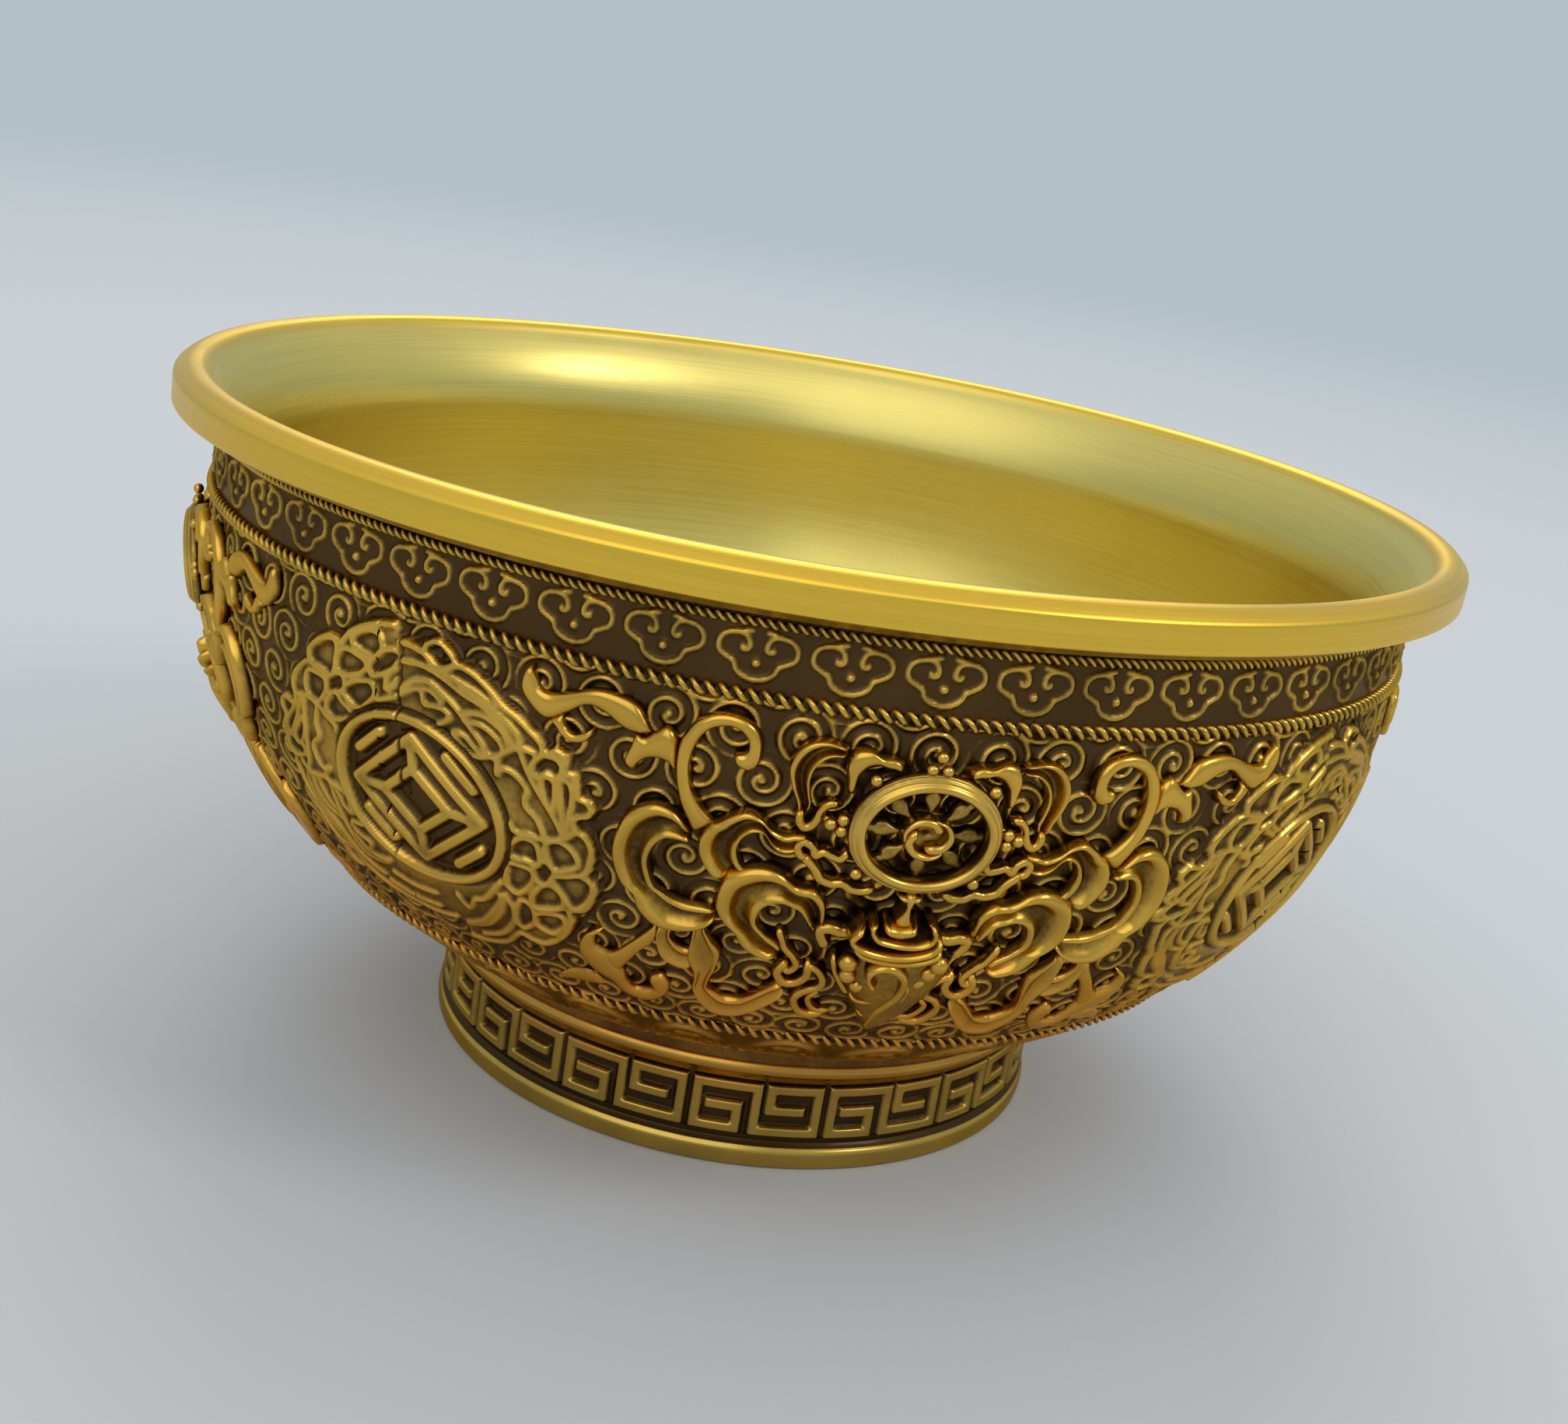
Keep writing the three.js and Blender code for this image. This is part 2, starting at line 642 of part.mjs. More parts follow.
addPiece('liner_bowl', linerBowl(), polished);
addPiece('relief_sleeve', reliefSleeve(), antiqued);
addPiece('lotus_cup', lotusCup(), coppery);
addPiece('foot_ring', footRing(), antiqued);
addPiece('wire_lower', wireRing(lowerWireHeight, lowerWire, 4), antiqued);
addPiece('wire_middle', wireRing(middleWireHeight, middleWire, 4), antiqued);
addPiece('wire_upper', wireRing(upperWireHeight, upperWire, 4), antiqued);
for (let i = 0; i < panels; i += 1) {
  const turn = i * 2 * Math.PI / panels;
  addPiece(`wheel_${i + 1}`, wheel(turn), antiqued);
  addPiece(`shell_${i + 1}`, shell(turn), antiqued);
  addPiece(`scrolls_left_${i + 1}`, scrolls(1, turn), antiqued);
  addPiece(`scrolls_right_${i + 1}`, scrolls(-1, turn), antiqued);
}

export default bowl;
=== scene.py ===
from math import radians

import bpy
import numpy as np
from mathutils import Matrix, Vector


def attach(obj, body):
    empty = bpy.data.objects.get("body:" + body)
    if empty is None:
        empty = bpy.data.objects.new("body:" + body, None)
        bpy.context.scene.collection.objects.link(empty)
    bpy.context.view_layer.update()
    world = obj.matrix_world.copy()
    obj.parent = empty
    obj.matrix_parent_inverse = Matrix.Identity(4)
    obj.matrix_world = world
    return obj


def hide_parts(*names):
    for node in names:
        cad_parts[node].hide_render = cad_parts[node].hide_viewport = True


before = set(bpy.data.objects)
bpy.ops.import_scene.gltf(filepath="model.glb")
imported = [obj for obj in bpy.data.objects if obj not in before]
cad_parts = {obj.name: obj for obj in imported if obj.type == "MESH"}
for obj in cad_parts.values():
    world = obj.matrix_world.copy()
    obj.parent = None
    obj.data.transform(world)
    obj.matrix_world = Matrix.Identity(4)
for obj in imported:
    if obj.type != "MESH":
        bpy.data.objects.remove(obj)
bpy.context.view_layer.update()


# The view: from 0.19 m away the camera looks down on the rim by nine degrees, a little to the
# left of a wheel, and leans by another nine, so the bowl seems to tip toward the right.
rim_height = 0.05873
view_distance = 0.18672
view_azimuth = -11.87
view_elevation = 9.07
view_roll = 9.321
view_pan = 1.208
view_tilt = -7.675
lens_pixels = 2600
photo_width = 2016

turn = (
    Matrix.Rotation(radians(view_azimuth), 4, "Z")
    @ Matrix.Rotation(radians(90 - view_elevation), 4, "X")
)
place = Matrix.Translation((0, 0, rim_height)) @ turn @ Matrix.Translation((0, 0, view_distance))
lean = (
    Matrix.Rotation(radians(view_roll), 4, "Z")
    @ Matrix.Rotation(radians(view_pan), 4, "Y")
    @ Matrix.Rotation(radians(view_tilt), 4, "X")
)
lens = bpy.data.cameras.new("view")
lens.sensor_width = 36
lens.lens = lens.sensor_width * lens_pixels / photo_width
lens.clip_start = 0.005
camera = bpy.data.objects.new("view", lens)
camera.matrix_world = place @ lean
bpy.context.scene.collection.objects.link(camera)
bpy.context.scene.camera = camera
bpy.context.scene.view_settings.view_transform = "Standard"


# The floor: a wide pale disc that thins out into the pale air round it, so no edge of it
# shows. Lamps are soft squares, two in front and above, one behind.
floor_tone = (0.60, 0.62, 0.64, 1)
air_tone = (0.45, 0.53, 0.57, 1)
floor_rings = np.array([0.0, 0.1, 0.3, 0.6, 1.0, 1.5])
floor_columns = 96
floor_fade = (0.25, 1.3)
air_stops = (
    (0.0, (0.20, 0.19, 0.18, 1)), (0.36, air_tone), (0.62, air_tone),
    (0.8, (0.64, 0.65, 0.66, 1)), (1.0, (0.74, 0.76, 0.78, 1)))
lamp_aim = Vector((0, 0, 0.03))


def turned(profile, columns):
    """Points of a profile of radii and heights carried round the bowl's axis in equal steps."""
    angle = np.linspace(0, 2 * np.pi, columns, endpoint=False)
    radius, height = np.array(profile, float).T
    return np.stack([
        np.outer(radius, np.sin(angle)),
        -np.outer(radius, np.cos(angle)),
        np.repeat(height[:, None], columns, 1),
    ], -1)


def woven(points, around=False, along=False):
    """Quads between the neighbours of a grid of points, with a row that is one point kept as one."""
    index = np.arange(points[..., 0].size).reshape(points.shape[:2])
    for row in (0, -1):
        if np.ptp(points[row], axis=0).max() < 1e-9:
            index[row] = index[row, 0]
    right = np.roll(index, -1, 1)
    if not around:
        index, right = index[:, :-1], right[:, :-1]
    above, above_right = np.roll(index, -1, 0), np.roll(right, -1, 0)
    quads = np.stack([index, right, above_right, above], -1)
    return (quads if along else quads[:-1]).reshape(-1, 4)


def shaped(name, parts, finish, normals=None):
    """Object of (points in millimetres, quads, crest) parts, its crest kept as an attribute."""
    sizes = [points[..., 0].size for points, _, _ in parts]
    starts = np.cumsum([0] + sizes)
    places = np.concatenate([points.reshape(-1, 3) for points, _, _ in parts]) * 0.001
    crest = np.concatenate([
        np.broadcast_to(high, points.shape[:-1]).ravel() for points, _, high in parts])
    quads = np.concatenate([faces + start for (_, faces, _), start in zip(parts, starts)])
    used, quads = np.unique(quads, return_inverse=True)
    quads = quads.reshape(-1, 4)
    doubled = quads == np.roll(quads, -1, 1)
    whole = quads[~doubled.any(1)]
    thin = doubled.sum(1) == 1
    triangles = quads[thin][~doubled[thin]].reshape(-1, 3)
    mesh = bpy.data.meshes.new(name)
    mesh.from_pydata(places[used], [], whole.tolist() + triangles.tolist())
    mesh.shade_smooth()
    if normals is not None:
        mesh.normals_split_custom_set_from_vertices(normals.reshape(-1, 3)[used])
    mesh.attributes.new("crest", "FLOAT", "POINT").data.foreach_set("value", crest[used])
    mesh.materials.append(finish)
    piece = bpy.data.objects.new(name, mesh)
    bpy.context.scene.collection.objects.link(piece)
    return piece


def plain_nodes(tree):
    """Cleared node tree with its link call."""
    tree.nodes.clear()
    return tree.nodes, tree.links.new


floor_finish = bpy.data.materials.new("pale_floor")
floor_finish.use_nodes = True
node, link = plain_nodes(floor_finish.node_tree)
spot = node.new("ShaderNodeTexCoord")
far = node.new("ShaderNodeVectorMath")
far.operation = "LENGTH"
thin_out = node.new("ShaderNodeMapRange")
thin_out.interpolation_type = "SMOOTHSTEP"
thin_out.inputs["From Min"].default_value = floor_fade[0]
thin_out.inputs["From Max"].default_value = floor_fade[1]
matt = node.new("ShaderNodeBsdfDiffuse")
matt.inputs["Color"].default_value = floor_tone
clear = node.new("ShaderNodeBsdfTransparent")
both = node.new("ShaderNodeMixShader")
out = node.new("ShaderNodeOutputMaterial")
link(spot.outputs["Object"], far.inputs[0])
link(far.outputs["Value"], thin_out.inputs["Value"])
link(thin_out.outputs["Result"], both.inputs["Fac"])
link(matt.outputs[0], both.inputs[1])
link(clear.outputs[0], both.inputs[2])
link(both.outputs[0], out.inputs["Surface"])
disc = turned(np.stack([floor_rings[::-1] * 1000, np.zeros(len(floor_rings))], 1), floor_columns)
floor = shaped("floor", [(disc, woven(disc, around=True), 0.0)], floor_finish)

world = bpy.data.worlds.new("air")
bpy.context.scene.world = world
world.use_nodes = True
node, link = plain_nodes(world.node_tree)
heading = node.new("ShaderNodeTexCoord")
split = node.new("ShaderNodeSeparateXYZ")
dome = node.new("ShaderNodeValToRGB")
stops = dome.color_ramp.elements
for stop, (position, tone) in zip(stops, (air_stops[0], air_stops[-1])):
    stop.position = position
    stop.color = tone
for position, tone in air_stops[1:-1]:
    stops.new(position).color = tone
lift = node.new("ShaderNodeMapRange")
lift.inputs["From Min"].default_value = -1
glow = node.new("ShaderNodeBackground")
out = node.new("ShaderNodeOutputWorld")
link(heading.outputs["Generated"], split.inputs[0])
link(split.outputs["Z"], lift.inputs["Value"])
link(lift.outputs["Result"], dome.inputs["Fac"])
link(dome.outputs["Color"], glow.inputs["Color"])
link(glow.outputs[0], out.inputs["Surface"])

lamps = (
    ("front_left", (-0.45, -0.75, 0.75), 1.1, 3.4),
    ("front_right", (0.55, -0.45, 0.65), 0.25, 1.5),
    ("behind", (0.1, 0.9, 1.0), 0.8, 4.0),
)
for name, where, width, power in lamps:
    lamp = bpy.data.lights.new(name, "AREA")
    lamp.shape = "SQUARE"
    lamp.size = width
    lamp.energy = power
    holder = bpy.data.objects.new(name, lamp)
    holder.location = where
    holder.rotation_euler = (lamp_aim - Vector(where)).to_track_quat("-Z", "Y").to_euler()
    bpy.context.scene.collection.objects.link(holder)


# Liner: a bowl spun from 1.2 mm sheet with a heavy rim turned on it, brushed round and round
# on the inside and polished on the rim. It drops into the sleeve and carries nothing else.
body_radius = 53.4
belly_top = 50.0
neck_top = 11.5
neck_radius = 29.6
squareness = 2.3
body_depth = (belly_top - neck_top) / (
    1 - (neck_radius / body_radius) ** squareness) ** (1 / squareness)
liner_outside = 1.2
liner_inside = 2.4
rim_radius = 57.4
rim_top = 59.55
liner_columns = 384
rim_brass = (0.80, 0.52, 0.060, 1)
# The inside's olive tone is a painted reflection of grey surroundings; the rim keeps the brass's own
# tone.
inside_painted_reflection = (0.70, 0.58, 0.17, 1)
tone_change = (0.0541, 0.0550)
liner_rough = 0.33
brush_fineness = 5200.0
brush_depth = 0.15
brush_pull = 0.4


def body_radius_at(height, inset=0.0):
    """Radius of the superellipse body at a height, set in by inset."""
    drop = np.clip(belly_top - np.asarray(height, float), 0, None) / (body_depth - inset)
    return (body_radius - inset) * np.clip(1 - drop ** squareness, 0, None) ** (1 / squareness)


def body_curve(inset, count):
    """Profile of the whole body from its lowest point to the belly's top, even in turning."""
    angle = np.linspace(np.pi / 2, 0, count)
    power = 2 / squareness
    return np.stack([
        (body_radius - inset) * np.cos(angle).clip(0) ** power,
        belly_top - (body_depth - inset) * np.sin(angle) ** power,
    ], 1)


def curve_through(points, steps, closed=False):
    """Smooth line through points: a cubic between each two, led by the neighbours on each side."""
    p = np.array(points, float)
    count = len(p)
    i = np.arange(count if closed else count - 1)
    a, b, c, d = (
        p[(i + k) % count if closed else np.clip(i + k, 0, count - 1)][:, None]
        for k in (-1, 0, 1, 2))
    t = np.linspace(0, 1, steps, endpoint=False)[None, :, None]
    line = 0.5 * (2 * b + (c - a) * t + (2 * a - 5 * b + 4 * c - d) * t ** 2
                  + (3 * b - a - 3 * c + d) * t ** 3)
    line = line.reshape(-1, p.shape[1])
    return line if closed else np.vstack([line, p[-1:]])


def value_node(nodes, links, operation, first, second):
    """Math node fed by two sockets or numbers."""
    made = nodes.new("ShaderNodeMath")
    made.operation = operation
    for socket, source in zip(made.inputs, (first, second)):
        if isinstance(source, (int, float)):
            socket.default_value = source
        else:
            links(source, socket)
    return made.outputs[0]


def ranged(nodes, links, value, low, high, to_low=0.0, to_high=1.0):
    """Smooth step of a value from low to high."""
    made = nodes.new("ShaderNodeMapRange")
    made.interpolation_type = "SMOOTHSTEP"
    for socket, source in zip(
            ("Value", "From Min", "From Max", "To Min", "To Max"),
            (value, low, high, to_low, to_high)):
        if isinstance(source, (int, float)):
            made.inputs[socket].default_value = source
        else:
            links(source, made.inputs[socket])
    return made.outputs["Result"]


def blended(nodes, links, share, first, second):
    """Colour between two colours or sockets."""
    made = nodes.new("ShaderNodeMix")
    made.data_type = "RGBA"
    for socket, source in (("Factor", share), ("A", first), ("B", second)):
        if isinstance(source, (tuple, float)):
            made.inputs[socket].default_value = source
        else:
            links(source, made.inputs[socket])
    return made.outputs["Result"]


def noise(nodes, links, vector, scale, detail=2.0):
    """Noise texture on a vector socket."""
    made = nodes.new("ShaderNodeTexNoise")
    made.inputs["Scale"].default_value = scale
    made.inputs["Detail"].default_value = detail
    links(vector, made.inputs["Vector"])
    return made.outputs["Fac"]


def brushing_group():
    """Marks of a brush that went round the axis: long along the angle, fine in radius and height."""
    group = bpy.data.node_groups.new("round brushing", "ShaderNodeTree")
    group.interface.new_socket("Fineness", in_out="INPUT", socket_type="NodeSocketFloat")
    group.interface.new_socket("Depth", in_out="INPUT", socket_type="NodeSocketFloat")
    group.interface.new_socket("Streaks", in_out="OUTPUT", socket_type="NodeSocketFloat")
    group.interface.new_socket("Normal", in_out="OUTPUT", socket_type="NodeSocketVector")
    nodes, links = group.nodes, group.links.new
    taken, given = nodes.new("NodeGroupInput"), nodes.new("NodeGroupOutput")
    where = nodes.new("ShaderNodeTexCoord")
    parts = nodes.new("ShaderNodeSeparateXYZ")
    links(where.outputs["Object"], parts.inputs[0])
    angle = value_node(nodes, links, "ARCTAN2", parts.outputs["Y"], parts.outputs["X"])
    across = nodes.new("ShaderNodeVectorMath")
    across.operation = "LENGTH"
    flat = nodes.new("ShaderNodeCombineXYZ")
    links(parts.outputs["X"], flat.inputs["X"])
    links(parts.outputs["Y"], flat.inputs["Y"])
    links(flat.outputs[0], across.inputs[0])
    streak = nodes.new("ShaderNodeCombineXYZ")
    links(value_node(nodes, links, "MULTIPLY", angle, 2.0), streak.inputs["X"])
    links(value_node(nodes, links, "MULTIPLY", across.outputs["Value"],
                     taken.outputs["Fineness"]), streak.inputs["Y"])
    links(value_node(nodes, links, "MULTIPLY", parts.outputs["Z"],
                     taken.outputs["Fineness"]), streak.inputs["Z"])
    marks = noise(nodes, links, streak.outputs[0], 1.0, 4.0)
    bump = nodes.new("ShaderNodeBump")
    bump.inputs["Distance"].default_value = 0.00004
    links(taken.outputs["Depth"], bump.inputs["Strength"])
    links(marks, bump.inputs["Height"])
    links(marks, given.inputs["Streaks"])
    links(bump.outputs["Normal"], given.inputs["Normal"])
    return group


round_brushing = brushing_group()


def brushed_brass(name, rim_tone, reflection_tone, rough, fineness, depth, tone_radii):
    """Brushed brass whose tone turns from the inside's olive painted reflection to the rim's own
    brass tone between two radii.
    """
    finish = bpy.data.materials.new(name)
    finish.use_nodes = True
    nodes, links = plain_nodes(finish.node_tree)
    brush = nodes.new("ShaderNodeGroup")
    brush.node_tree = round_brushing
    brush.inputs["Fineness"].default_value = fineness
    brush.inputs["Depth"].default_value = depth
    where = nodes.new("ShaderNodeTexCoord")
    parts = nodes.new("ShaderNodeSeparateXYZ")
    flat = nodes.new("ShaderNodeCombineXYZ")
    across = nodes.new("ShaderNodeVectorMath")
    across.operation = "LENGTH"
    links(where.outputs["Object"], parts.inputs[0])
    links(parts.outputs["X"], flat.inputs["X"])
    links(parts.outputs["Y"], flat.inputs["Y"])
    links(flat.outputs[0], across.inputs[0])
    # Painted reflection: the olive inside gives way to the rim's brass tone across these radii.
    share = ranged(nodes, links, across.outputs["Value"], *tone_radii)
    tone = blended(nodes, links, share, reflection_tone, rim_tone)
    streaked = nodes.new("ShaderNodeHueSaturation")
    links(tone, streaked.inputs["Color"])
    links(ranged(nodes, links, brush.outputs["Streaks"], 0.25, 0.75, 0.94, 1.05),
          streaked.inputs["Value"])
    cloud = noise(nodes, links, where.outputs["Object"], 60.0)
    surface = nodes.new("ShaderNodeBsdfPrincipled")
    surface.inputs["Metallic"].default_value = 1.0
    surface.inputs["Anisotropic"].default_value = brush_pull
    links(streaked.outputs["Color"], surface.inputs["Base Color"])
    links(value_node(nodes, links, "ADD",
                     ranged(nodes, links, cloud, 0.3, 0.7, rough - 0.04, rough + 0.04),
                     ranged(nodes, links, brush.outputs["Streaks"], 0.3, 0.7, 0.0, 0.05)),
          surface.inputs["Roughness"])
    links(brush.outputs["Normal"], surface.inputs["Normal"])
    tangent = nodes.new("ShaderNodeTangent")
    tangent.direction_type = "RADIAL"
    tangent.axis = "Z"
    links(tangent.outputs[0], surface.inputs["Tangent"])
    out = nodes.new("ShaderNodeOutputMaterial")
    links(surface.outputs[0], out.inputs["Surface"])
    return finish


rim = curve_through([
    (52.3, 55.22), (53.6, 55.22), (54.8, 55.3), (55.9, 55.6), (56.7, 56.0), (57.15, 56.2),
    (57.34, 56.32), (rim_radius, 56.5), (rim_radius, 57.4), (57.4, 58.3), (57.32, 58.62),
    (57.0, 58.95), (56.55, 59.3), (56.1, 59.5), (55.6, rim_top), (55.1, 59.42), (54.7, 59.1),
    (54.3, 58.5), (53.57, 57.5), (52.76, 56.2), (52.0, 54.7), (51.44, 53.1), (51.13, 51.7),
    (51.02, 50.7)], 6)
inside = body_curve(liner_inside, 72)[::-1]
outside = body_curve(liner_outside, 24)
liner_side = body_radius - liner_outside
liner_profile = np.vstack([outside, [(liner_side, 53.0), (liner_side, 55.15)], rim, inside])
liner_points = turned(liner_profile, liner_columns)
liner_finish = brushed_brass(
    "brushed_liner", rim_brass, inside_painted_reflection, liner_rough, brush_fineness, brush_depth,
    tone_change)
liner = shaped(
    "spun_liner", [(liner_points, woven(liner_points, around=True), 1.0)], liner_finish)
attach(liner, "root")
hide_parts("liner_bowl")


# Twisted wires: each is two drawn brass wires twisted together, closed into a ring and soldered
# over a joint: under the rim, under the band of cloud heads, and where the sleeve ends.
lotus_top = 19.8
sleeve_top = 54.9
wire_proud = 0.65
strand_share = 0.9
wire_hollow = 0.45
# Heights in metres, as the shader reads them, over which a redder tint low on the bowl gives way to
# yellow
tint_fade_above = (0.018, 0.034)
tint_fade_below = (0.003, 0.012)
lower_tint = (1.0, 0.74, 0.62, 1)
grazing_tone = (0.80, 0.62, 0.35, 1)
lacquer_weight = 0.15
lacquer_rough = 0.12


def patina_and_shade_group():
    """Brass darkened and rubbed back, with painted shade: dark in the hollows, partly as patina and
    partly as painted shade, bright where crest is high.
    """
    group = bpy.data.node_groups.new("patina and painted shade", "ShaderNodeTree")
    sockets = (
        ("Bright", "NodeSocketColor"), ("Dark", "NodeSocketColor"), ("Low", "NodeSocketFloat"),
        ("High", "NodeSocketFloat"), ("Grain", "NodeSocketFloat"))
    for name, kind in sockets:
        group.interface.new_socket(name, in_out="INPUT", socket_type=kind)
    outputs = (
        ("Colour", "NodeSocketColor"), ("Roughness", "NodeSocketFloat"),
        ("Metallic", "NodeSocketFloat"), ("Normal", "NodeSocketVector"))
    for name, kind in outputs:
        group.interface.new_socket(name, in_out="OUTPUT", socket_type=kind)
    nodes, links = group.nodes, group.links.new
    taken, given = nodes.new("NodeGroupInput"), nodes.new("NodeGroupOutput")
    where = nodes.new("ShaderNodeTexCoord").outputs["Object"]
    crest = nodes.new("ShaderNodeAttribute")
    crest.attribute_name = "crest"
    fine = noise(nodes, links, where, 2600.0, 3.0)
    cloud = noise(nodes, links, where, 150.0, 3.0)
    ragged = value_node(nodes, links, "ADD", crest.outputs["Fac"],
                        ranged(nodes, links, fine, 0.25, 0.75, -0.05, 0.05))
    ragged = value_node(nodes, links, "ADD", ragged,
                        ranged(nodes, links, cloud, 0.3, 0.7, -0.08, 0.08))
    # Share of bright tone from crest: rubbed-back patina, and on the skin painted shade in the
    # hollows as well.
    rubbed = ranged(nodes, links, ragged, taken.outputs["Low"], taken.outputs["High"])
    tone = blended(nodes, links, rubbed, taken.outputs["Dark"], taken.outputs["Bright"])
    height = nodes.new("ShaderNodeSeparateXYZ")
    links(where, height.inputs[0])
    # Redder tint low on the bowl, fading to none above and below.
    golden = value_node(nodes, links, "MAXIMUM",
                        ranged(nodes, links, height.outputs["Z"], *tint_fade_above),
                        ranged(nodes, links, height.outputs["Z"], *tint_fade_below, 1.0, 0.0))
    tint = nodes.new("ShaderNodeMix")
    tint.data_type = "RGBA"
    tint.blend_type = "MULTIPLY"
    tint.inputs["Factor"].default_value = 1.0
    links(tone, tint.inputs["A"])
    links(blended(nodes, links, golden, lower_tint, (1.0, 1.0, 1.0, 1)), tint.inputs["B"])
    varied = nodes.new("ShaderNodeHueSaturation")
    links(tint.outputs["Result"], varied.inputs["Color"])
    links(ranged(nodes, links, cloud, 0.3, 0.7, 0.9, 1.08), varied.inputs["Value"])
    rough = ranged(nodes, links, rubbed, 0.0, 1.0, 0.44, 0.24)
    rough = value_node(nodes, links, "ADD", rough,
                       ranged(nodes, links, fine, 0.3, 0.7, -0.02, 0.03))
    bump = nodes.new("ShaderNodeBump")
    bump.inputs["Distance"].default_value = 0.00003
    links(taken.outputs["Grain"], bump.inputs["Strength"])
    links(fine, bump.inputs["Height"])
    links(varied.outputs["Color"], given.inputs["Colour"])
    links(rough, given.inputs["Roughness"])
    links(ranged(nodes, links, rubbed, 0.0, 0.6, 0.94, 1.0), given.inputs["Metallic"])
    links(bump.outputs["Normal"], given.inputs["Normal"])
    return group


patina_and_shade = patina_and_shade_group()


def antique_brass_and_shade(name, bright, dark, low, high, grain):
    """Material of rubbed-back patina and painted shade, with its own tones and amount of wear."""
    finish = bpy.data.materials.new(name)
    finish.use_nodes = True
    nodes, links = plain_nodes(finish.node_tree)
    patina = nodes.new("ShaderNodeGroup")
    patina.node_tree = patina_and_shade
    for socket, value in (("Bright", bright), ("Dark", dark), ("Low", low), ("High", high),
                          ("Grain", grain)):
        patina.inputs[socket].default_value = value
    surface = nodes.new("ShaderNodeBsdfPrincipled")
    surface.inputs["Specular Tint"].default_value = grazing_tone
    surface.inputs["Coat Weight"].default_value = lacquer_weight
    surface.inputs["Coat Roughness"].default_value = lacquer_rough
    links(patina.outputs["Colour"], surface.inputs["Base Color"])
    links(patina.outputs["Roughness"], surface.inputs["Roughness"])
    links(patina.outputs["Metallic"], surface.inputs["Metallic"])
    links(patina.outputs["Normal"], surface.inputs["Normal"])
    out = nodes.new("ShaderNodeOutputMaterial")
    links(surface.outputs[0], out.inputs["Surface"])
    return finish


def twisted_wire(height, thickness, turns, samples=14, rounds=12):
    """Ring of two strands: a section of two circles that turns as it goes round the bowl."""
    centre = body_radius_at(height) + wire_proud - thickness / 2
    along = np.linspace(0, 2 * np.pi, turns * samples, endpoint=False)[:, None]
    section = np.linspace(0, 2 * np.pi, rounds, endpoint=False)[None]
    strand = thickness / 4
    offset = strand * strand_share
    turned_section = section + along * turns
    reach = offset * np.abs(np.cos(turned_section)) + np.sqrt(
        strand ** 2 - (offset * np.sin(turned_section)) ** 2)
    reach *= thickness / 2 / (offset + strand)
    radius = centre + reach * np.cos(section)
    points = np.stack([
        radius * np.sin(along), -radius * np.cos(along),
        height + reach * np.sin(section) * np.ones_like(along)], -1)
    crest = (reach / (thickness / 2) - wire_hollow) / (1 - wire_hollow)
    return points, woven(points, around=True, along=True)[:, ::-1], crest


wire_finish = antique_brass_and_shade(
    "twisted_brass", (0.62, 0.38, 0.060, 1), (0.050, 0.024, 0.004, 1), 0.15, 0.9, 0.3)
wires = (
    ("twisted_lower", "wire_lower", lotus_top - 0.9, 1.3, 134),
    ("twisted_middle", "wire_middle", belly_top - 0.7, 1.3, 168),
    ("twisted_upper", "wire_upper", sleeve_top - 0.4, 0.8, 240),
)
for name, node_name, height, thickness, turns in wires:
    wire = shaped(name, [twisted_wire(height, thickness, turns)], wire_finish)
    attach(wire, "root")
    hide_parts(node_name)


# Sleeve: the cast skin of the bowl, in four quarters that meet inside the roundels. Its ground
# is covered with small curls, and a roundel in a wreath stands between the panels.
wall_height = np.linspace(12, 56, 2400)
wall_radius = body_radius_at(wall_height)
wall_up = np.concatenate([[0], np.cumsum(np.hypot(np.diff(wall_radius), np.diff(wall_height)))])
wall_up -= np.interp(lotus_top, wall_height, wall_up)
wall_slope = np.arctan2(np.gradient(wall_radius), np.gradient(wall_height))
skin_columns = 456
skin_rows = 204
skin_foot, skin_head = -0.45, 32.55
skin_depth = 0.9
curl_pitch = radians(5.0)
curl_row = 3.55
curl_ring = 1.05
curl_rise = 0.42
curl_bead = 0.36
curl_reach = 2.3
roundel_up = 17.8
roundel_half = (7.75, 6.75)
roundel_turns = (radians(41.5), radians(48.5))
ground_wear = 0.16
cloth_wear = 0.10
height_wear = 0.50
# Cavity term: lighter rubbed edges, and painted shade darkening the hollows.
edge_wear_and_cavity_shade = 2.4
cavity_shade_spread = 14


def on_wall(across, up, lift, turn=0.0):
    """Point at a distance across and up the wall, raised by lift along the wall's own normal."""
    radius, height = np.interp(up, wall_up, wall_radius), np.interp(up, wall_up, wall_height)
    slope = np.interp(up, wall_up, wall_slope)
    out, angle = radius + lift * np.cos(slope), turn + across / radius
    return np.stack([
        out * np.sin(angle), -out * np.cos(angle), height - lift * np.sin(slope)], -1)


def distance_to(path, x, y, reach):
    """Shortest distance from each point to a line, worked out only within reach of the line."""
    path = np.array(path, float)[:, :2]
    best = np.full(x.shape, reach * 1.01)
    low, high = path.min(0) - reach, path.max(0) + reach
    near = (x > low[0]) & (x < high[0]) & (y > low[1]) & (y < high[1])
    px, py = x[near], y[near]
    close = np.full(px.shape, reach * 1.01) ** 2
    for (ax, ay), (bx, by) in zip(path[:-1], path[1:]):
        dx, dy = bx - ax, by - ay
        t = np.clip(((px - ax) * dx + (py - ay) * dy) / max(dx * dx + dy * dy, 1e-9), 0, 1)
        close = np.minimum(close, (px - ax - t * dx) ** 2 + (py - ay - t * dy) ** 2)
    best[near] = np.sqrt(close)
    return best


def bead(distance, half, rise):
    """Round top of a bar or bead, half wide to each side."""
    return rise * np.sqrt(np.clip(1 - (distance / half) ** 2, 0, 1))


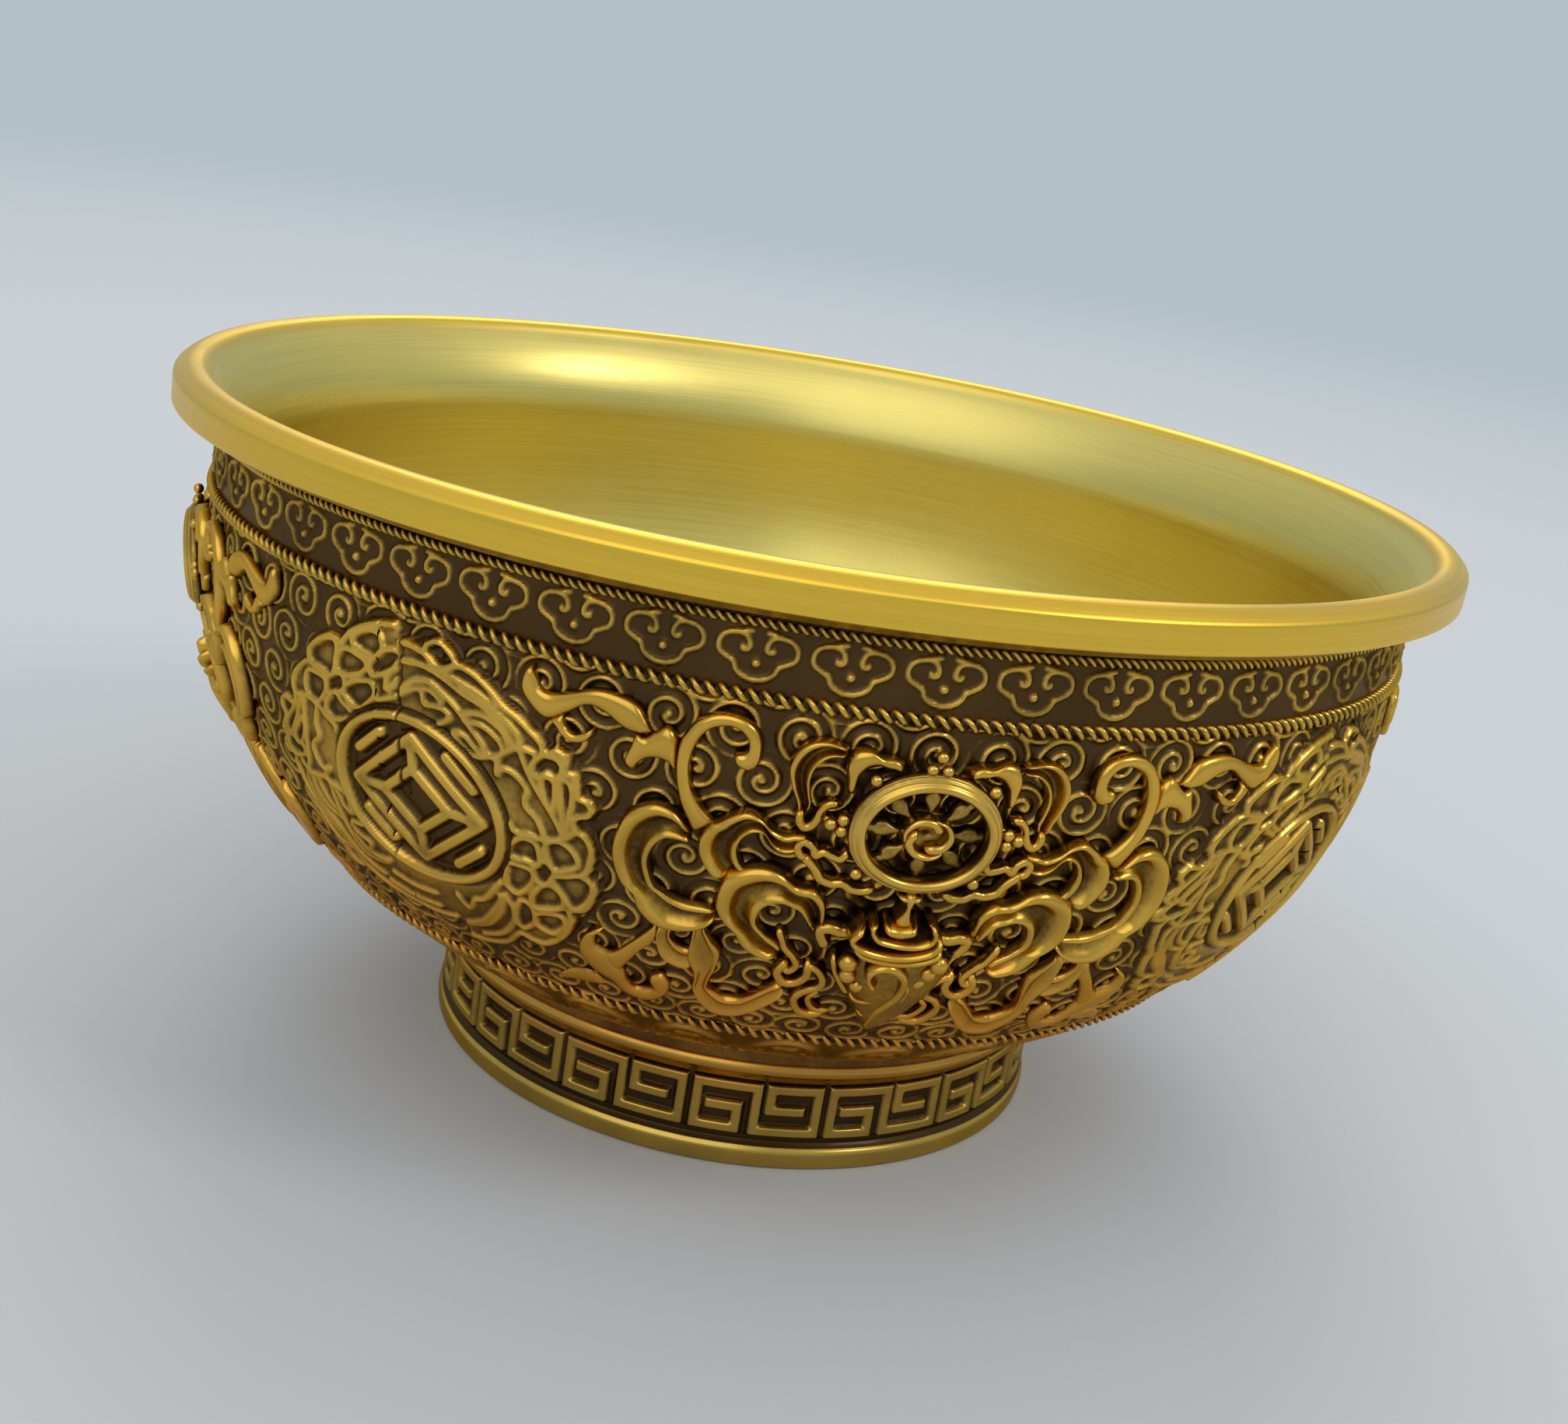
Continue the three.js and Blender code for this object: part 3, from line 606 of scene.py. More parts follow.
def softened(field, times, around=False):
    """Field averaged with its neighbours a number of times."""
    for _ in range(times):
        padded = np.pad(field, 1, mode="edge")
        if around:
            padded[1:-1, 0], padded[1:-1, -1] = field[:, -2], field[:, 1]
        field = (padded[1:-1, 1:-1] * 2 + padded[:-2, 1:-1] + padded[2:, 1:-1]
                 + padded[1:-1, :-2] + padded[1:-1, 2:]) / 6
    return field


def ground_curls(angle, up):
    """Staggered rows of curls: a ridge that winds once or twice round a bead."""
    radius = np.interp(up, wall_up, wall_radius)
    best = np.full(angle.shape, 1e9)
    x, y, start = np.zeros_like(best), np.zeros_like(best), np.zeros_like(best)
    base = np.floor(up / curl_row)
    for step in (-1, 0, 1):
        row = base + step
        shift = 0.5 * (row % 2)
        column = np.round(angle / curl_pitch - shift)
        dx = (angle - (column + shift) * curl_pitch) * radius
        dy = up - (row + 0.5) * curl_row
        apart = np.hypot(dx, dy)
        nearer = apart < best
        best, x, y = np.where(nearer, apart, best), np.where(nearer, dx, x), np.where(nearer, dy, y)
        start = np.where(nearer, (column * 7 + row * 3) % 5, start)
    phase = best / curl_ring - np.arctan2(y, x) / (2 * np.pi) + start / 5
    ridge = np.clip(np.cos(2 * np.pi * phase) - 0.1, 0, 1) / 0.9
    ridge = np.where(best < curl_bead, bead(best, curl_bead, 1.0), ridge)
    edge = np.clip((curl_reach - best) / 0.25, 0, 1)
    return curl_rise * ridge * edge


wreath_edge = [
    (-9.2, 7.4), (-7.9, 9.0), (-6.5, 10.2), (-4.5, 11.2), (-1.2, 12.3), (1.2, 12.1), (2.5, 11.4),
    (3.9, 12.0), (5.4, 11.8), (7.0, 10.9), (8.0, 10.1), (9.1, 9.6), (10.3, 8.8), (11.2, 8.1),
    (11.4, 7.4), (12.4, 7.9), (13.1, 7.4), (13.0, 6.4), (13.8, 6.3), (14.0, 4.8), (14.8, 4.5),
    (15.0, 3.6), (13.8, 3.0), (13.8, 2.1), (14.6, 1.5), (14.9, 0.4), (14.5, -1.3), (14.0, -1.9),
    (14.7, -2.5), (14.4, -4.1), (13.6, -5.3), (12.5, -5.7), (12.3, -7.1), (11.3, -8.9),
    (9.5, -10.6), (8.2, -10.6), (7.3, -10.3), (5.6, -12.2), (3.3, -13.2), (1.2, -13.4)]
wreath_lines = (
    [(-0.9, 11.0), (1.1, 11.2), (3.0, 10.8), (4.8, 10.1), (6.6, 9.6), (7.9, 8.8), (8.8, 7.9),
     (9.3, 7.3)],
    [(2.5, 11.4), (4.4, 10.9), (6.1, 10.5), (7.4, 9.9)],
    [(4.6, 10.6), (6.8, 9.9), (8.4, 9.1), (9.4, 8.2), (9.6, 7.4)],
    [(-0.8, 8.9), (0.2, 9.8), (1.7, 10.2), (3.1, 9.6), (4.2, 8.9), (5.1, 8.1), (6.3, 7.0),
     (7.1, 6.1), (7.8, 6.0)],
    [(-0.8, 8.5), (0.3, 9.2), (1.7, 9.6), (3.0, 9.0)],
    [(1.2, 9.2), (1.4, 8.4), (2.2, 8.5), (3.1, 8.5), (3.7, 8.0), (2.7, 7.2)],
    [(4.8, 8.7), (6.4, 9.0), (8.0, 8.3), (8.7, 7.3)],
    [(4.9, 8.2), (6.5, 8.2), (7.8, 7.5), (8.2, 6.9)],
    [(6.8, 5.9), (7.8, 6.3), (8.6, 6.9), (9.5, 7.4), (10.6, 7.3)],
    [(7.8, 6.0), (7.7, 4.8), (8.2, 5.4), (9.2, 5.2), (10.1, 4.3), (9.9, 3.0), (10.8, 2.1),
     (11.3, 0.8)],
    [(9.5, 7.3), (10.2, 5.7), (11.2, 4.1), (12.2, 2.6), (12.8, 1.3)],
    [(8.5, 1.0), (9.0, 0.5), (10.2, 0.6), (11.2, 0.5), (12.9, 1.1), (13.7, 1.8)],
    [(7.1, -6.1), (7.5, -7.3), (7.0, -9.3), (5.5, -11.2), (3.4, -12.3)],
    [(2.3, -8.2), (3.1, -9.3), (4.0, -8.0), (5.2, -7.3), (7.0, -4.9)],
    [(-1.5, 11.3), (-4.0, 10.6), (-6.2, 9.3)],
    [(-1.5, 9.6), (-3.6, 9.0), (-5.4, 7.9)],
)
wreath_cells = (
    [(1.2, 12.1), (1.2, 12.7), (1.9, 13.2), (2.8, 13.1), (3.7, 12.4), (3.9, 11.9), (2.5, 11.4)],
    [(4.0, 7.0), (5.0, 7.0), (5.8, 6.4), (6.8, 5.9), (5.6, 5.7), (4.8, 6.1)],
    [(10.9, 5.5), (10.5, 6.2), (10.8, 6.8), (11.4, 7.3), (12.4, 7.3), (12.8, 6.7), (12.5, 5.9),
     (11.5, 5.9)],
    [(11.3, 5.7), (11.4, 4.3), (12.1, 2.9), (12.3, 5.1), (12.1, 5.6)],
    [(12.7, 5.6), (13.4, 5.7), (13.6, 4.7), (13.4, 3.0), (13.0, 1.7)],
    [(11.1, -1.4), (11.8, -2.3), (10.8, -3.8), (10.0, -2.8)],
    [(10.4, -2.1), (9.6, -1.9), (8.2, -1.9), (8.4, -0.9), (9.5, 0.1), (10.6, -0.1), (10.7, -1.6)],
    [(11.4, -1.4), (11.4, 0.1), (12.4, 0.7), (13.4, 0.2), (13.8, -1.0), (12.8, -1.7),
     (11.9, -2.0)],
    [(11.8, -2.6), (12.8, -2.3), (14.0, -1.9), (14.7, -2.7), (14.1, -4.4), (13.0, -5.4),
     (12.3, -4.7), (11.6, -3.2)],
    [(11.3, -3.6), (12.1, -4.3), (11.9, -5.6), (10.7, -6.2), (9.5, -6.4), (9.5, -5.4),
     (10.5, -4.0)],
    [(10.0, -3.3), (9.4, -4.5), (8.3, -5.5), (7.5, -4.9), (7.7, -3.5), (8.1, -2.6), (9.8, -2.6)],
    [(8.5, -6.1), (9.3, -6.7), (9.0, -8.4), (7.8, -9.4), (7.5, -8.1)],
    [(9.2, -8.4), (9.6, -7.1), (11.6, -6.6), (11.6, -7.8), (10.4, -9.0)],
    [(2.3, -11.4), (4.3, -10.1), (6.3, -7.4), (6.7, -6.3), (6.9, -6.7), (6.2, -8.4), (4.6, -10.4),
     (2.8, -11.4)],
)
wreath_joint = radians(96)
crack_across = -1.1
crack_half = 0.12
crack_depth = 0.3
wreath_turn = radians(148.5)
cloth_rise = 0.46
cell_rise = 0.20
wreath_wire = 0.33
wreath_wire_foot = 0.34
wreath_wire_rise = 0.46
ring_bar = 0.6
ring_rise = 1.0
lattice_bar = 0.5
lattice_rise = 0.66
lattice_lines = (
    [(-6.1, 0), (0, 5.3), (6.1, 0), (0, -5.3), (-6.1, 0)],
    [(-3.1, 0), (0, 2.7), (3.1, 0), (0, -2.7), (-3.1, 0)],
    [(-6.1, 0), (-3.1, 0)], [(3.1, 0), (6.1, 0)], [(0, 2.7), (0, 5.3)], [(0, -5.3), (0, -2.7)],
    [(-5.5, 2.7), (-3.2, 4.7)], [(5.5, 2.7), (3.2, 4.7)], [(-5.5, -2.7), (-3.2, -4.7)],
    [(5.5, -2.7), (3.2, -4.7)])


def enclosed(path, x, y):
    """Whether each point lies inside a closed line, by how often a ray from it meets the line."""
    inside = np.zeros(x.shape, bool)
    for (ax, ay), (bx, by) in zip(path, np.roll(path, -1, 0)):
        if ay != by:
            inside ^= ((ay > y) != (by > y)) & (x < ax + (y - ay) * (bx - ax) / (by - ay))
    return inside


def roundel_relief(x, y):
    """Height of a roundel and its wreath: a sunk field with a plain lattice inside a round bar,
    and round it a raised cloth with wire edges, met by a turned copy of itself at a joint. Also
    how far each point lies beyond the wreath's edge, and where the cloth is."""
    size = np.hypot(x / roundel_half[0], y / roundel_half[1])
    angle = np.arctan2(y / roundel_half[1], x / roundel_half[0])
    beyond = (angle > wreath_joint) | (angle < wreath_joint - np.pi)
    angle = (angle - np.where(beyond, wreath_turn, 0) + np.pi) % (2 * np.pi) - np.pi
    cx, cy = roundel_half[0] * size * np.cos(angle), roundel_half[1] * size * np.sin(angle)
    scallops = curve_through(wreath_edge, 4)[::-1] / roundel_half
    turning = np.arctan2(scallops[:, 1], scallops[:, 0])
    order = np.argsort(turning)
    edge = np.interp(angle, turning[order], np.hypot(*scallops[order].T))
    height = np.clip((edge - size) * 12 + 0.5, 0, 1) * cloth_rise
    lines = distance_to(scallops * roundel_half, cx, cy, 1.0)
    for points in wreath_lines:
        lines = np.minimum(lines, distance_to(curve_through(points, 5), cx, cy, 1.0))
    for points in wreath_cells:
        loop = curve_through(points, 5, closed=True)
        height = np.where(enclosed(loop, cx, cy), cell_rise, height)
        lines = np.minimum(lines, distance_to(np.vstack([loop, loop[:1]]), cx, cy, 1.0))
    height = np.maximum(height, wreath_wire_foot + bead(lines, wreath_wire, wreath_wire_rise))
    height = np.where((size < edge + 0.06) | (lines < wreath_wire), height, 0)
    ring = np.abs(size - 1.0) * roundel_half[0]
    bars = np.full(x.shape, 9.0)
    for path in lattice_lines:
        bars = np.minimum(bars, distance_to(path, x, y, 1.0))
    lattice = lattice_rise * np.clip((lattice_bar - bars) / 0.2 + 0.5, 0, 1)
    beside_ring = np.clip((ring - ring_bar) / 0.2, 0, 1)
    height = np.where(size < 1.0, lattice, height * beside_ring)
    cloth = (size > 1) * beside_ring * (size < edge)
    return np.maximum(height, bead(ring, ring_bar, ring_rise)), size - edge, cloth


def skin_quarter(roundel_turn, jointed):
    """Grid of the sleeve over a quarter turn, with its roundels roundel_turn to each side of its
    middle: places, crest, and a crack through the left roundel where the sleeve was closed."""
    angle = np.linspace(-np.pi / 4, np.pi / 4, skin_columns + 1)[None]
    up = np.linspace(skin_foot, skin_head, skin_rows + 1)[:, None]
    angle, up = angle + 0 * up, up + 0 * angle
    radius = np.interp(up, wall_up, wall_radius)
    ground = ground_curls(angle, up)
    across = (angle - np.where(angle < 0, -1, 1) * roundel_turn) * radius
    height, outside, cloth = roundel_relief(across, up - roundel_up)
    height = np.maximum(height, ground * np.clip(outside * 8, 0, 1))
    height = np.minimum(height, np.clip((skin_head - up) * 1.5, 0, 2))
    smooth = softened(height, 1, around=True)
    # Painted shade: the height less a broad blur of itself darkens the hollows like shade and
    # lightens rubbed edges.
    broad = softened(smooth, cavity_shade_spread, around=True)
    crest = ground_wear + cloth_wear * cloth + height_wear * smooth
    crest = np.clip(crest + edge_wear_and_cavity_shade * (smooth - broad), 0, 1)
    if jointed:
        crack = (np.abs(across - crack_across) < crack_half) & (angle < 0) & (up > roundel_up)
        smooth = np.where(crack & (outside < 0), smooth - crack_depth, smooth)
        crest = np.where(crack, 0, crest)
    return on_wall(angle * radius, up, smooth), crest


def grid_normals(points):
    """Normals of a grid that carries on past its sides by a quarter turn of the bowl."""
    quarter = np.array([[0, -1, 0], [1, 0, 0], [0, 0, 1]], float)
    before, after = points[:, -2] @ quarter, points[:, 1] @ quarter.T
    wide = np.concatenate([before[:, None], points, after[:, None]], 1)
    across = wide[:, 2:] - wide[:, :-2]
    upward = np.gradient(points, axis=0)
    normal = np.cross(across, upward)
    return normal / np.linalg.norm(normal, axis=-1, keepdims=True)


def turned_by(points, angle):
    """Points turned round the bowl's axis."""
    c, s = np.cos(angle), np.sin(angle)
    return points @ np.array([[c, s, 0], [-s, c, 0], [0, 0, 1.0]])


skin_finish = antique_brass_and_shade(
    "cast_skin", (0.66, 0.40, 0.065, 1), (0.080, 0.040, 0.009, 1), 0.12, 0.85, 0.1)
lining_up = np.linspace(skin_head, skin_foot, 12)[:, None]
lining_angle = np.linspace(-np.pi / 4, np.pi / 4, skin_columns + 1)[None]
lining = on_wall(
    lining_angle * np.interp(lining_up, wall_up, wall_radius), lining_up + 0 * lining_angle,
    -skin_depth)
lining_normals = -np.stack([
    np.sin(lining_angle) + 0 * lining_up, -np.cos(lining_angle) + 0 * lining_up,
    0 * lining_angle + 0 * lining_up], -1)
for quarter in range(4):
    skin_points, skin_crest = skin_quarter(roundel_turns[quarter % 2], quarter == 0)
    both_points = np.concatenate([skin_points, lining])
    both_normals = np.concatenate([grid_normals(skin_points), lining_normals])
    both_crest = np.concatenate([skin_crest, np.zeros(lining.shape[:2])])
    angle = quarter * np.pi / 2
    skin = shaped(
        f"cast_skin_{quarter + 1}",
        [(turned_by(both_points, angle), woven(both_points, along=True), both_crest)],
        skin_finish, turned_by(both_normals, angle))
    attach(skin, "root")
    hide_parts("relief_sleeve")


# Band of cloud heads: the upper edge of the same casting, 52 trefoil heads in raised wire, each
# with two curls that turn in at the top and a bead.
heads = 52
head_turn = radians(-0.43)
band_low, band_high = 49.3, 54.95
band_middle = 52.15
tile_columns = 44
band_rows = 34
head_wire = 0.20
head_rise = 0.36
head_bead_drop = 0.55
head_bead = 0.36
head_bead_rise = 0.4
head_wear = 2.2


def head_paths():
    """Right half of a head: its outline from the foot round the side lobe to the inward curl."""
    outline = [(0, -1.72), (0.75, -1.58), (1.3, -1.15), (1.55, -0.62), (1.95, -0.42), (2.5, -0.1),
               (2.72, 0.42), (2.55, 0.98), (2.05, 1.35), (1.45, 1.45), (0.95, 1.62), (0.5, 1.62)]
    curl = [(1.45, 1.45), (0.9, 1.3), (0.6, 0.85), (0.62, 0.38), (0.95, 0.25), (1.12, 0.5)]
    return [curve_through(outline, 6), curve_through(curl, 6)]


half_tile = np.pi / heads
tile_angle = np.linspace(-half_tile, half_tile, tile_columns, endpoint=False)[None]
band_height = np.linspace(band_low, band_high, band_rows)[:, None]
tile_x = tile_angle * body_radius + 0 * band_height
tile_y = band_height - band_middle + 0 * tile_angle
lines = np.full(tile_x.shape, 9.0)
for path in head_paths():
    lines = np.minimum(lines, distance_to(path, np.abs(tile_x), tile_y, 1.0))
tile = bead(lines, head_wire, head_rise)
tile = np.maximum(
    tile, bead(np.hypot(tile_x, tile_y + head_bead_drop), head_bead, head_bead_rise))
tile = softened(tile, 1)
tile_crest = np.clip(head_wear * tile, 0, 1)
band_angle = (np.arange(heads)[:, None] * 2 * half_tile + tile_angle).ravel() + head_turn
band_relief, band_crest = np.tile(tile, heads), np.tile(tile_crest, heads)
radius = body_radius_at(band_height) + band_relief
outer = np.stack([
    radius * np.sin(band_angle), -radius * np.cos(band_angle), band_height + 0 * radius], -1)
inner_radius = body_radius - skin_depth
inner = np.stack([
    inner_radius * np.sin(band_angle), -inner_radius * np.cos(band_angle),
    0 * band_angle], -1)
inner = np.stack([inner + (0, 0, band_high), inner + (0, 0, band_low)])
band_points = np.concatenate([outer, inner])
band_crest = np.concatenate([band_crest, np.zeros(inner.shape[:2])])
band = shaped(
    "cloud_head_band", [(band_points, woven(band_points, around=True, along=True), band_crest)],
    skin_finish)
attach(band, "root")
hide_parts("relief_sleeve")


# Scrollwork: cast sprays of channelled scrolls on both sides of each wheel, soldered onto the
# ground. Left and right are mirror images.
trough = np.array([
    (-1, 0), (-0.98, 0.45), (-0.9, 0.78), (-0.76, 0.96), (-0.58, 1), (-0.4, 0.9), (-0.24, 0.68),
    (-0.1, 0.46), (0.06, 0.34), (0.22, 0.33), (0.38, 0.42), (0.52, 0.62), (0.66, 0.82),
    (0.8, 0.86), (0.91, 0.66), (0.98, 0.34), (1, 0)])
rounded = np.array([
    (-1, 0), (-0.98, 0.45), (-0.88, 0.72), (-0.68, 0.9), (-0.35, 0.98), (0, 1), (0.35, 0.98),
    (0.68, 0.9), (0.88, 0.72), (0.98, 0.45), (1, 0)])
ledge = np.array([
    (-1, 0), (-0.99, 0.55), (-0.9, 0.88), (-0.76, 1), (-0.6, 0.9), (-0.42, 0.74), (0, 0.66),
    (0.42, 0.74), (0.6, 0.9), (0.76, 1), (0.9, 0.88), (0.99, 0.55), (1, 0)])
end_softness = 0.6
end_share = 0.35
cast_foot = -0.12
cord_foot = 0.1
cord_fullness = 1.3


def blunted(run):
    """Share of the full height along a piece, rounded off over its first and last part."""
    share = np.clip(np.minimum(run, run[-1] - run) / end_softness, 0, 1)
    return end_share + (1 - end_share) * np.sqrt(1 - (1 - share) ** 2)


def carried(across, up, lift, profile, foot, closed=False):
    """Closed piece from rows of places and heights, its two ends walled down to its foot."""
    crest = np.clip(0.05 + 0.95 * profile[None, :, 1] ** 0.8, 0, 1) + 0 * lift
    if not closed:
        across, up, crest = (np.concatenate([f[:1], f, f[-1:]]) for f in (across, up, crest))
        lowered = np.full_like(lift[:1], foot)
        lift = np.concatenate([lowered, lift, lowered])
    turning = (
        (across[:-1, -1] - across[:-1, 0]) * (up[1:, 0] - up[:-1, 0])
        - (up[:-1, -1] - up[:-1, 0]) * (across[1:, 0] - across[:-1, 0])).sum()
    faces = woven(lift[..., None], around=True, along=closed)
    return on_wall(across, up, lift), faces if turning > 0 else faces[:, ::-1], crest


def edged(rows, rise, section, foot=cast_foot, steps=7, side=1):
    """Section spread between two edges, given as rows of (across, up, across, up), or with a rise
    in each row that is used instead. The section's bolder side lies on the first edge."""
    line = curve_through(rows, steps)
    middle = (line[:, :2] + line[:, 2:4]) / 2
    run = np.concatenate([[0], np.cumsum(np.linalg.norm(np.diff(middle, axis=0), axis=1))])
    share = (section[None, :, 0] + 1) / 2
    across = line[:, :1] + (line[:, 2:3] - line[:, :1]) * share
    up = line[:, 1:2] + (line[:, 3:4] - line[:, 1:2]) * share
    high = line[:, 4:5] if line.shape[1] > 4 else rise
    lift = foot + (high - foot) * section[None, :, 1] * blunted(run)[:, None]
    return carried(across * side, up, lift, section, foot)


def ribbon(points, rise, section, foot=cast_foot, steps=7, closed=False, side=1):
    """Section carried along a line of (across, up, width), or with a rise at each point that is
    used instead. Its bolder side is on the left of the line."""
    line = curve_through(points, steps, closed)
    if closed:
        along = np.roll(line, -1, 0) - np.roll(line, 1, 0)
        ease = np.ones(len(line))
    else:
        along = np.gradient(line, axis=0)
        run = np.concatenate([[0], np.cumsum(np.linalg.norm(np.diff(line[:, :2], axis=0), axis=1))])
        ease = blunted(run)
    along = along[:, :2] / np.maximum(np.linalg.norm(along[:, :2], axis=1, keepdims=True), 1e-9)
    offset = (line[:, 2] / 2 * ease)[:, None] * section[None, :, 0]
    across = line[:, :1] + along[:, 1:] * offset
    up = line[:, 1:2] - along[:, :1] * offset
    high = line[:, 3:4] if line.shape[1] > 3 else rise
    lift = foot + (high - foot) * section[None, :, 1] * ease[:, None]
    return carried(across * side, up, lift, section, foot, closed)


scrolls = (
    (1.3, trough, [
        (-15.7, 22.2, -15.5, 21.2), (-17.0, 23.5, -16.3, 21.2), (-18.6, 23.8, -17.3, 21.0),
        (-20.2, 22.7, -17.9, 20.1), (-20.9, 20.9, -18.1, 18.9), (-20.9, 18.9, -17.8, 17.9),
        (-20.0, 16.9, -17.3, 16.9), (-18.9, 15.9, -16.7, 16.5), (-18.3, 14.5, -15.8, 16.1),
        (-16.9, 13.2, -14.8, 15.9), (-15.2, 13.1, -14.1, 15.9), (-13.8, 13.6, -13.5, 15.9),
        (-12.6, 14.8, -12.8, 15.8)]),
    (1.4, trough, [
        (-7.7, 23.5, -7.7, 22.8), (-8.6, 23.5, -8.6, 21.9), (-9.3, 23.3, -9.4, 21.8),
        (-10.2, 23.6, -10.0, 22.2), (-11.1, 24.3, -10.7, 23.0), (-12.2, 24.6, -11.5, 22.9),
        (-13.3, 24.0, -12.0, 22.4), (-13.9, 23.5, -12.2, 21.8), (-14.6, 23.0, -12.2, 21.4),
        (-15.1, 21.9, -12.1, 21.0), (-15.0, 20.7, -11.9, 20.5), (-14.2, 19.4, -11.6, 20.1),
        (-13.2, 18.5, -11.3, 19.9)]),
    (1.55, trough, [
        (-5.3, 16.3, -6.0, 15.6), (-5.4, 18.1, -6.7, 16.5), (-6.3, 19.2, -7.2, 17.1),
        (-7.7, 19.4, -7.8, 17.4), (-8.9, 20.2, -8.3, 17.5), (-10.2, 20.5, -9.0, 17.3),
        (-11.6, 20.1, -9.5, 16.8), (-12.7, 19.3, -9.7, 16.1), (-13.1, 17.9, -9.7, 15.5),
        (-13.0, 16.4, -9.5, 15.0), (-12.3, 15.3, -9.1, 14.6), (-11.4, 14.5, -8.8, 14.3),
        (-10.6, 13.2, -8.3, 14.0), (-9.4, 12.4, -7.9, 13.7), (-7.8, 12.1, -7.6, 13.2)]),
    (1.15, rounded, [
        (-13.8, 28.2, -13.7, 28.5), (-13.3, 27.6, -13.4, 28.6), (-12.5, 27.4, -13.1, 28.7),
        (-11.9, 28.1, -12.9, 29.0), (-11.9, 29.4, -13.0, 29.6), (-12.4, 30.5, -13.5, 30.1),
        (-13.3, 31.1, -14.1, 30.3), (-14.5, 31.3, -14.8, 30.2), (-15.7, 31.0, -15.6, 29.8),
        (-16.7, 30.2, -16.2, 28.9), (-17.5, 28.6, -16.5, 27.5), (-17.5, 26.7, -16.4, 26.4),
        (-17.1, 25.0, -16.0, 25.2), (-16.5, 23.6, -15.2, 24.1), (-15.5, 21.9, -14.1, 23.1)]),
    (1.1, rounded, [
        (-20.9, 26.1, -20.3, 25.6), (-21.1, 26.6, -20.1, 26.3), (-20.8, 27.7, -19.6, 26.8),
        (-20.6, 28.5, -19.2, 26.9), (-20.0, 28.4, -18.9, 27.0), (-19.4, 28.8, -18.6, 27.0),
        (-18.5, 29.5, -17.9, 26.7), (-17.6, 28.9, -17.4, 26.1)]),
    (0.95, rounded, [
        (-28.7, 31.5, -29.0, 31.3), (-28.1, 30.6, -29.3, 29.8), (-27.7, 30.0, -28.6, 28.8),
        (-26.9, 29.9, -27.2, 27.9), (-25.6, 30.3, -25.8, 28.6), (-24.0, 30.9, -24.3, 29.6),
        (-22.6, 31.0, -23.0, 29.4), (-20.9, 30.6, -21.6, 28.6), (-20.0, 29.6, -20.6, 28.5),
        (-19.4, 28.7, -20.0, 28.6)]),
    (0.9, rounded, [
        (-27.1, 27.9, -25.9, 28.7), (-26.4, 27.6, -25.8, 28.2), (-25.8, 27.0, -25.5, 27.7),
        (-25.0, 26.7, -24.9, 27.4), (-24.1, 26.9, -24.2, 27.7), (-23.5, 27.6, -23.6, 28.1)]),
    (0.85, rounded, [
        (-20.9, 10.9, -20.3, 11.0), (-21.7, 9.8, -20.7, 10.1), (-21.9, 8.0, -20.5, 8.8),
        (-21.2, 6.3, -19.5, 8.2), (-19.8, 4.9, -18.4, 7.2), (-18.6, 4.3, -17.9, 6.1),
        (-17.6, 3.1, -17.5, 5.0), (-16.1, 2.5, -16.8, 4.1), (-15.0, 2.8, -15.9, 4.3),
        (-14.3, 4.3, -15.6, 4.8), (-14.4, 5.8, -15.8, 5.2), (-15.0, 6.8, -16.0, 5.8),
        (-15.6, 6.8, -16.0, 6.4)]),
    (0.8, rounded, [
        (-20.0, 8.2, -18.3, 5.2), (-19.2, 8.5, -18.0, 7.1), (-18.1, 10.4, -17.3, 9.3),
        (-17.3, 11.8, -16.6, 10.6), (-16.7, 12.9, -16.3, 12.1)]),
    (0.5, rounded, [
        (-22.9, 2.3, -22.5, 1.9), (-22.1, 3.8, -21.4, 2.2), (-21.1, 4.4, -20.2, 2.3),
        (-20.0, 4.2, -18.9, 2.7)]),
    (0.95, ledge, [
        (-16.5, 12.9, -15.5, 13.2), (-16.4, 11.4, -15.4, 12.2), (-15.7, 9.6, -14.8, 11.4),
        (-14.5, 8.8, -14.1, 11.1), (-13.2, 8.7, -13.5, 11.4)]),
    (1.1, ledge, [
        (-14.0, 13.7, -13.3, 13.9), (-14.0, 12.1, -12.5, 12.7), (-13.9, 10.2, -11.6, 11.4),
        (-13.2, 8.9, -11.6, 9.8), (-12.9, 7.8, -11.8, 8.3), (-12.8, 6.6, -11.7, 7.1),
        (-12.0, 4.8, -10.9, 6.2), (-10.7, 3.3, -10.1, 5.8), (-9.2, 3.3, -9.0, 6.2),
        (-8.0, 4.4, -8.1, 7.5), (-6.9, 6.2, -7.3, 8.6), (-6.2, 7.7, -6.6, 8.9)]),
    (1.35, trough, [
        (-6.1, 30.2, -6.2, 29.5), (-7.5, 30.6, -7.1, 29.4), (-8.7, 30.4, -7.8, 28.9),
        (-9.6, 29.6, -8.2, 28.2), (-10.0, 28.4, -8.3, 27.3), (-9.7, 27.2, -8.1, 26.3),
        (-9.1, 26.0, -8.0, 25.8), (-8.8, 25.0, -8.2, 25.1)]),
    (1.45, rounded, [
        (-5.8, 27.0, -5.3, 26.9), (-6.0, 28.1, -5.2, 28.0), (-6.2, 29.1, -5.0, 28.5),
        (-5.8, 30.1, -4.5, 29.0), (-4.8, 30.4, -3.9, 29.2), (-3.9, 30.0, -3.3, 29.1),
        (-3.0, 30.0, -2.8, 29.0), (-2.2, 29.6, -2.2, 28.7)]),
)
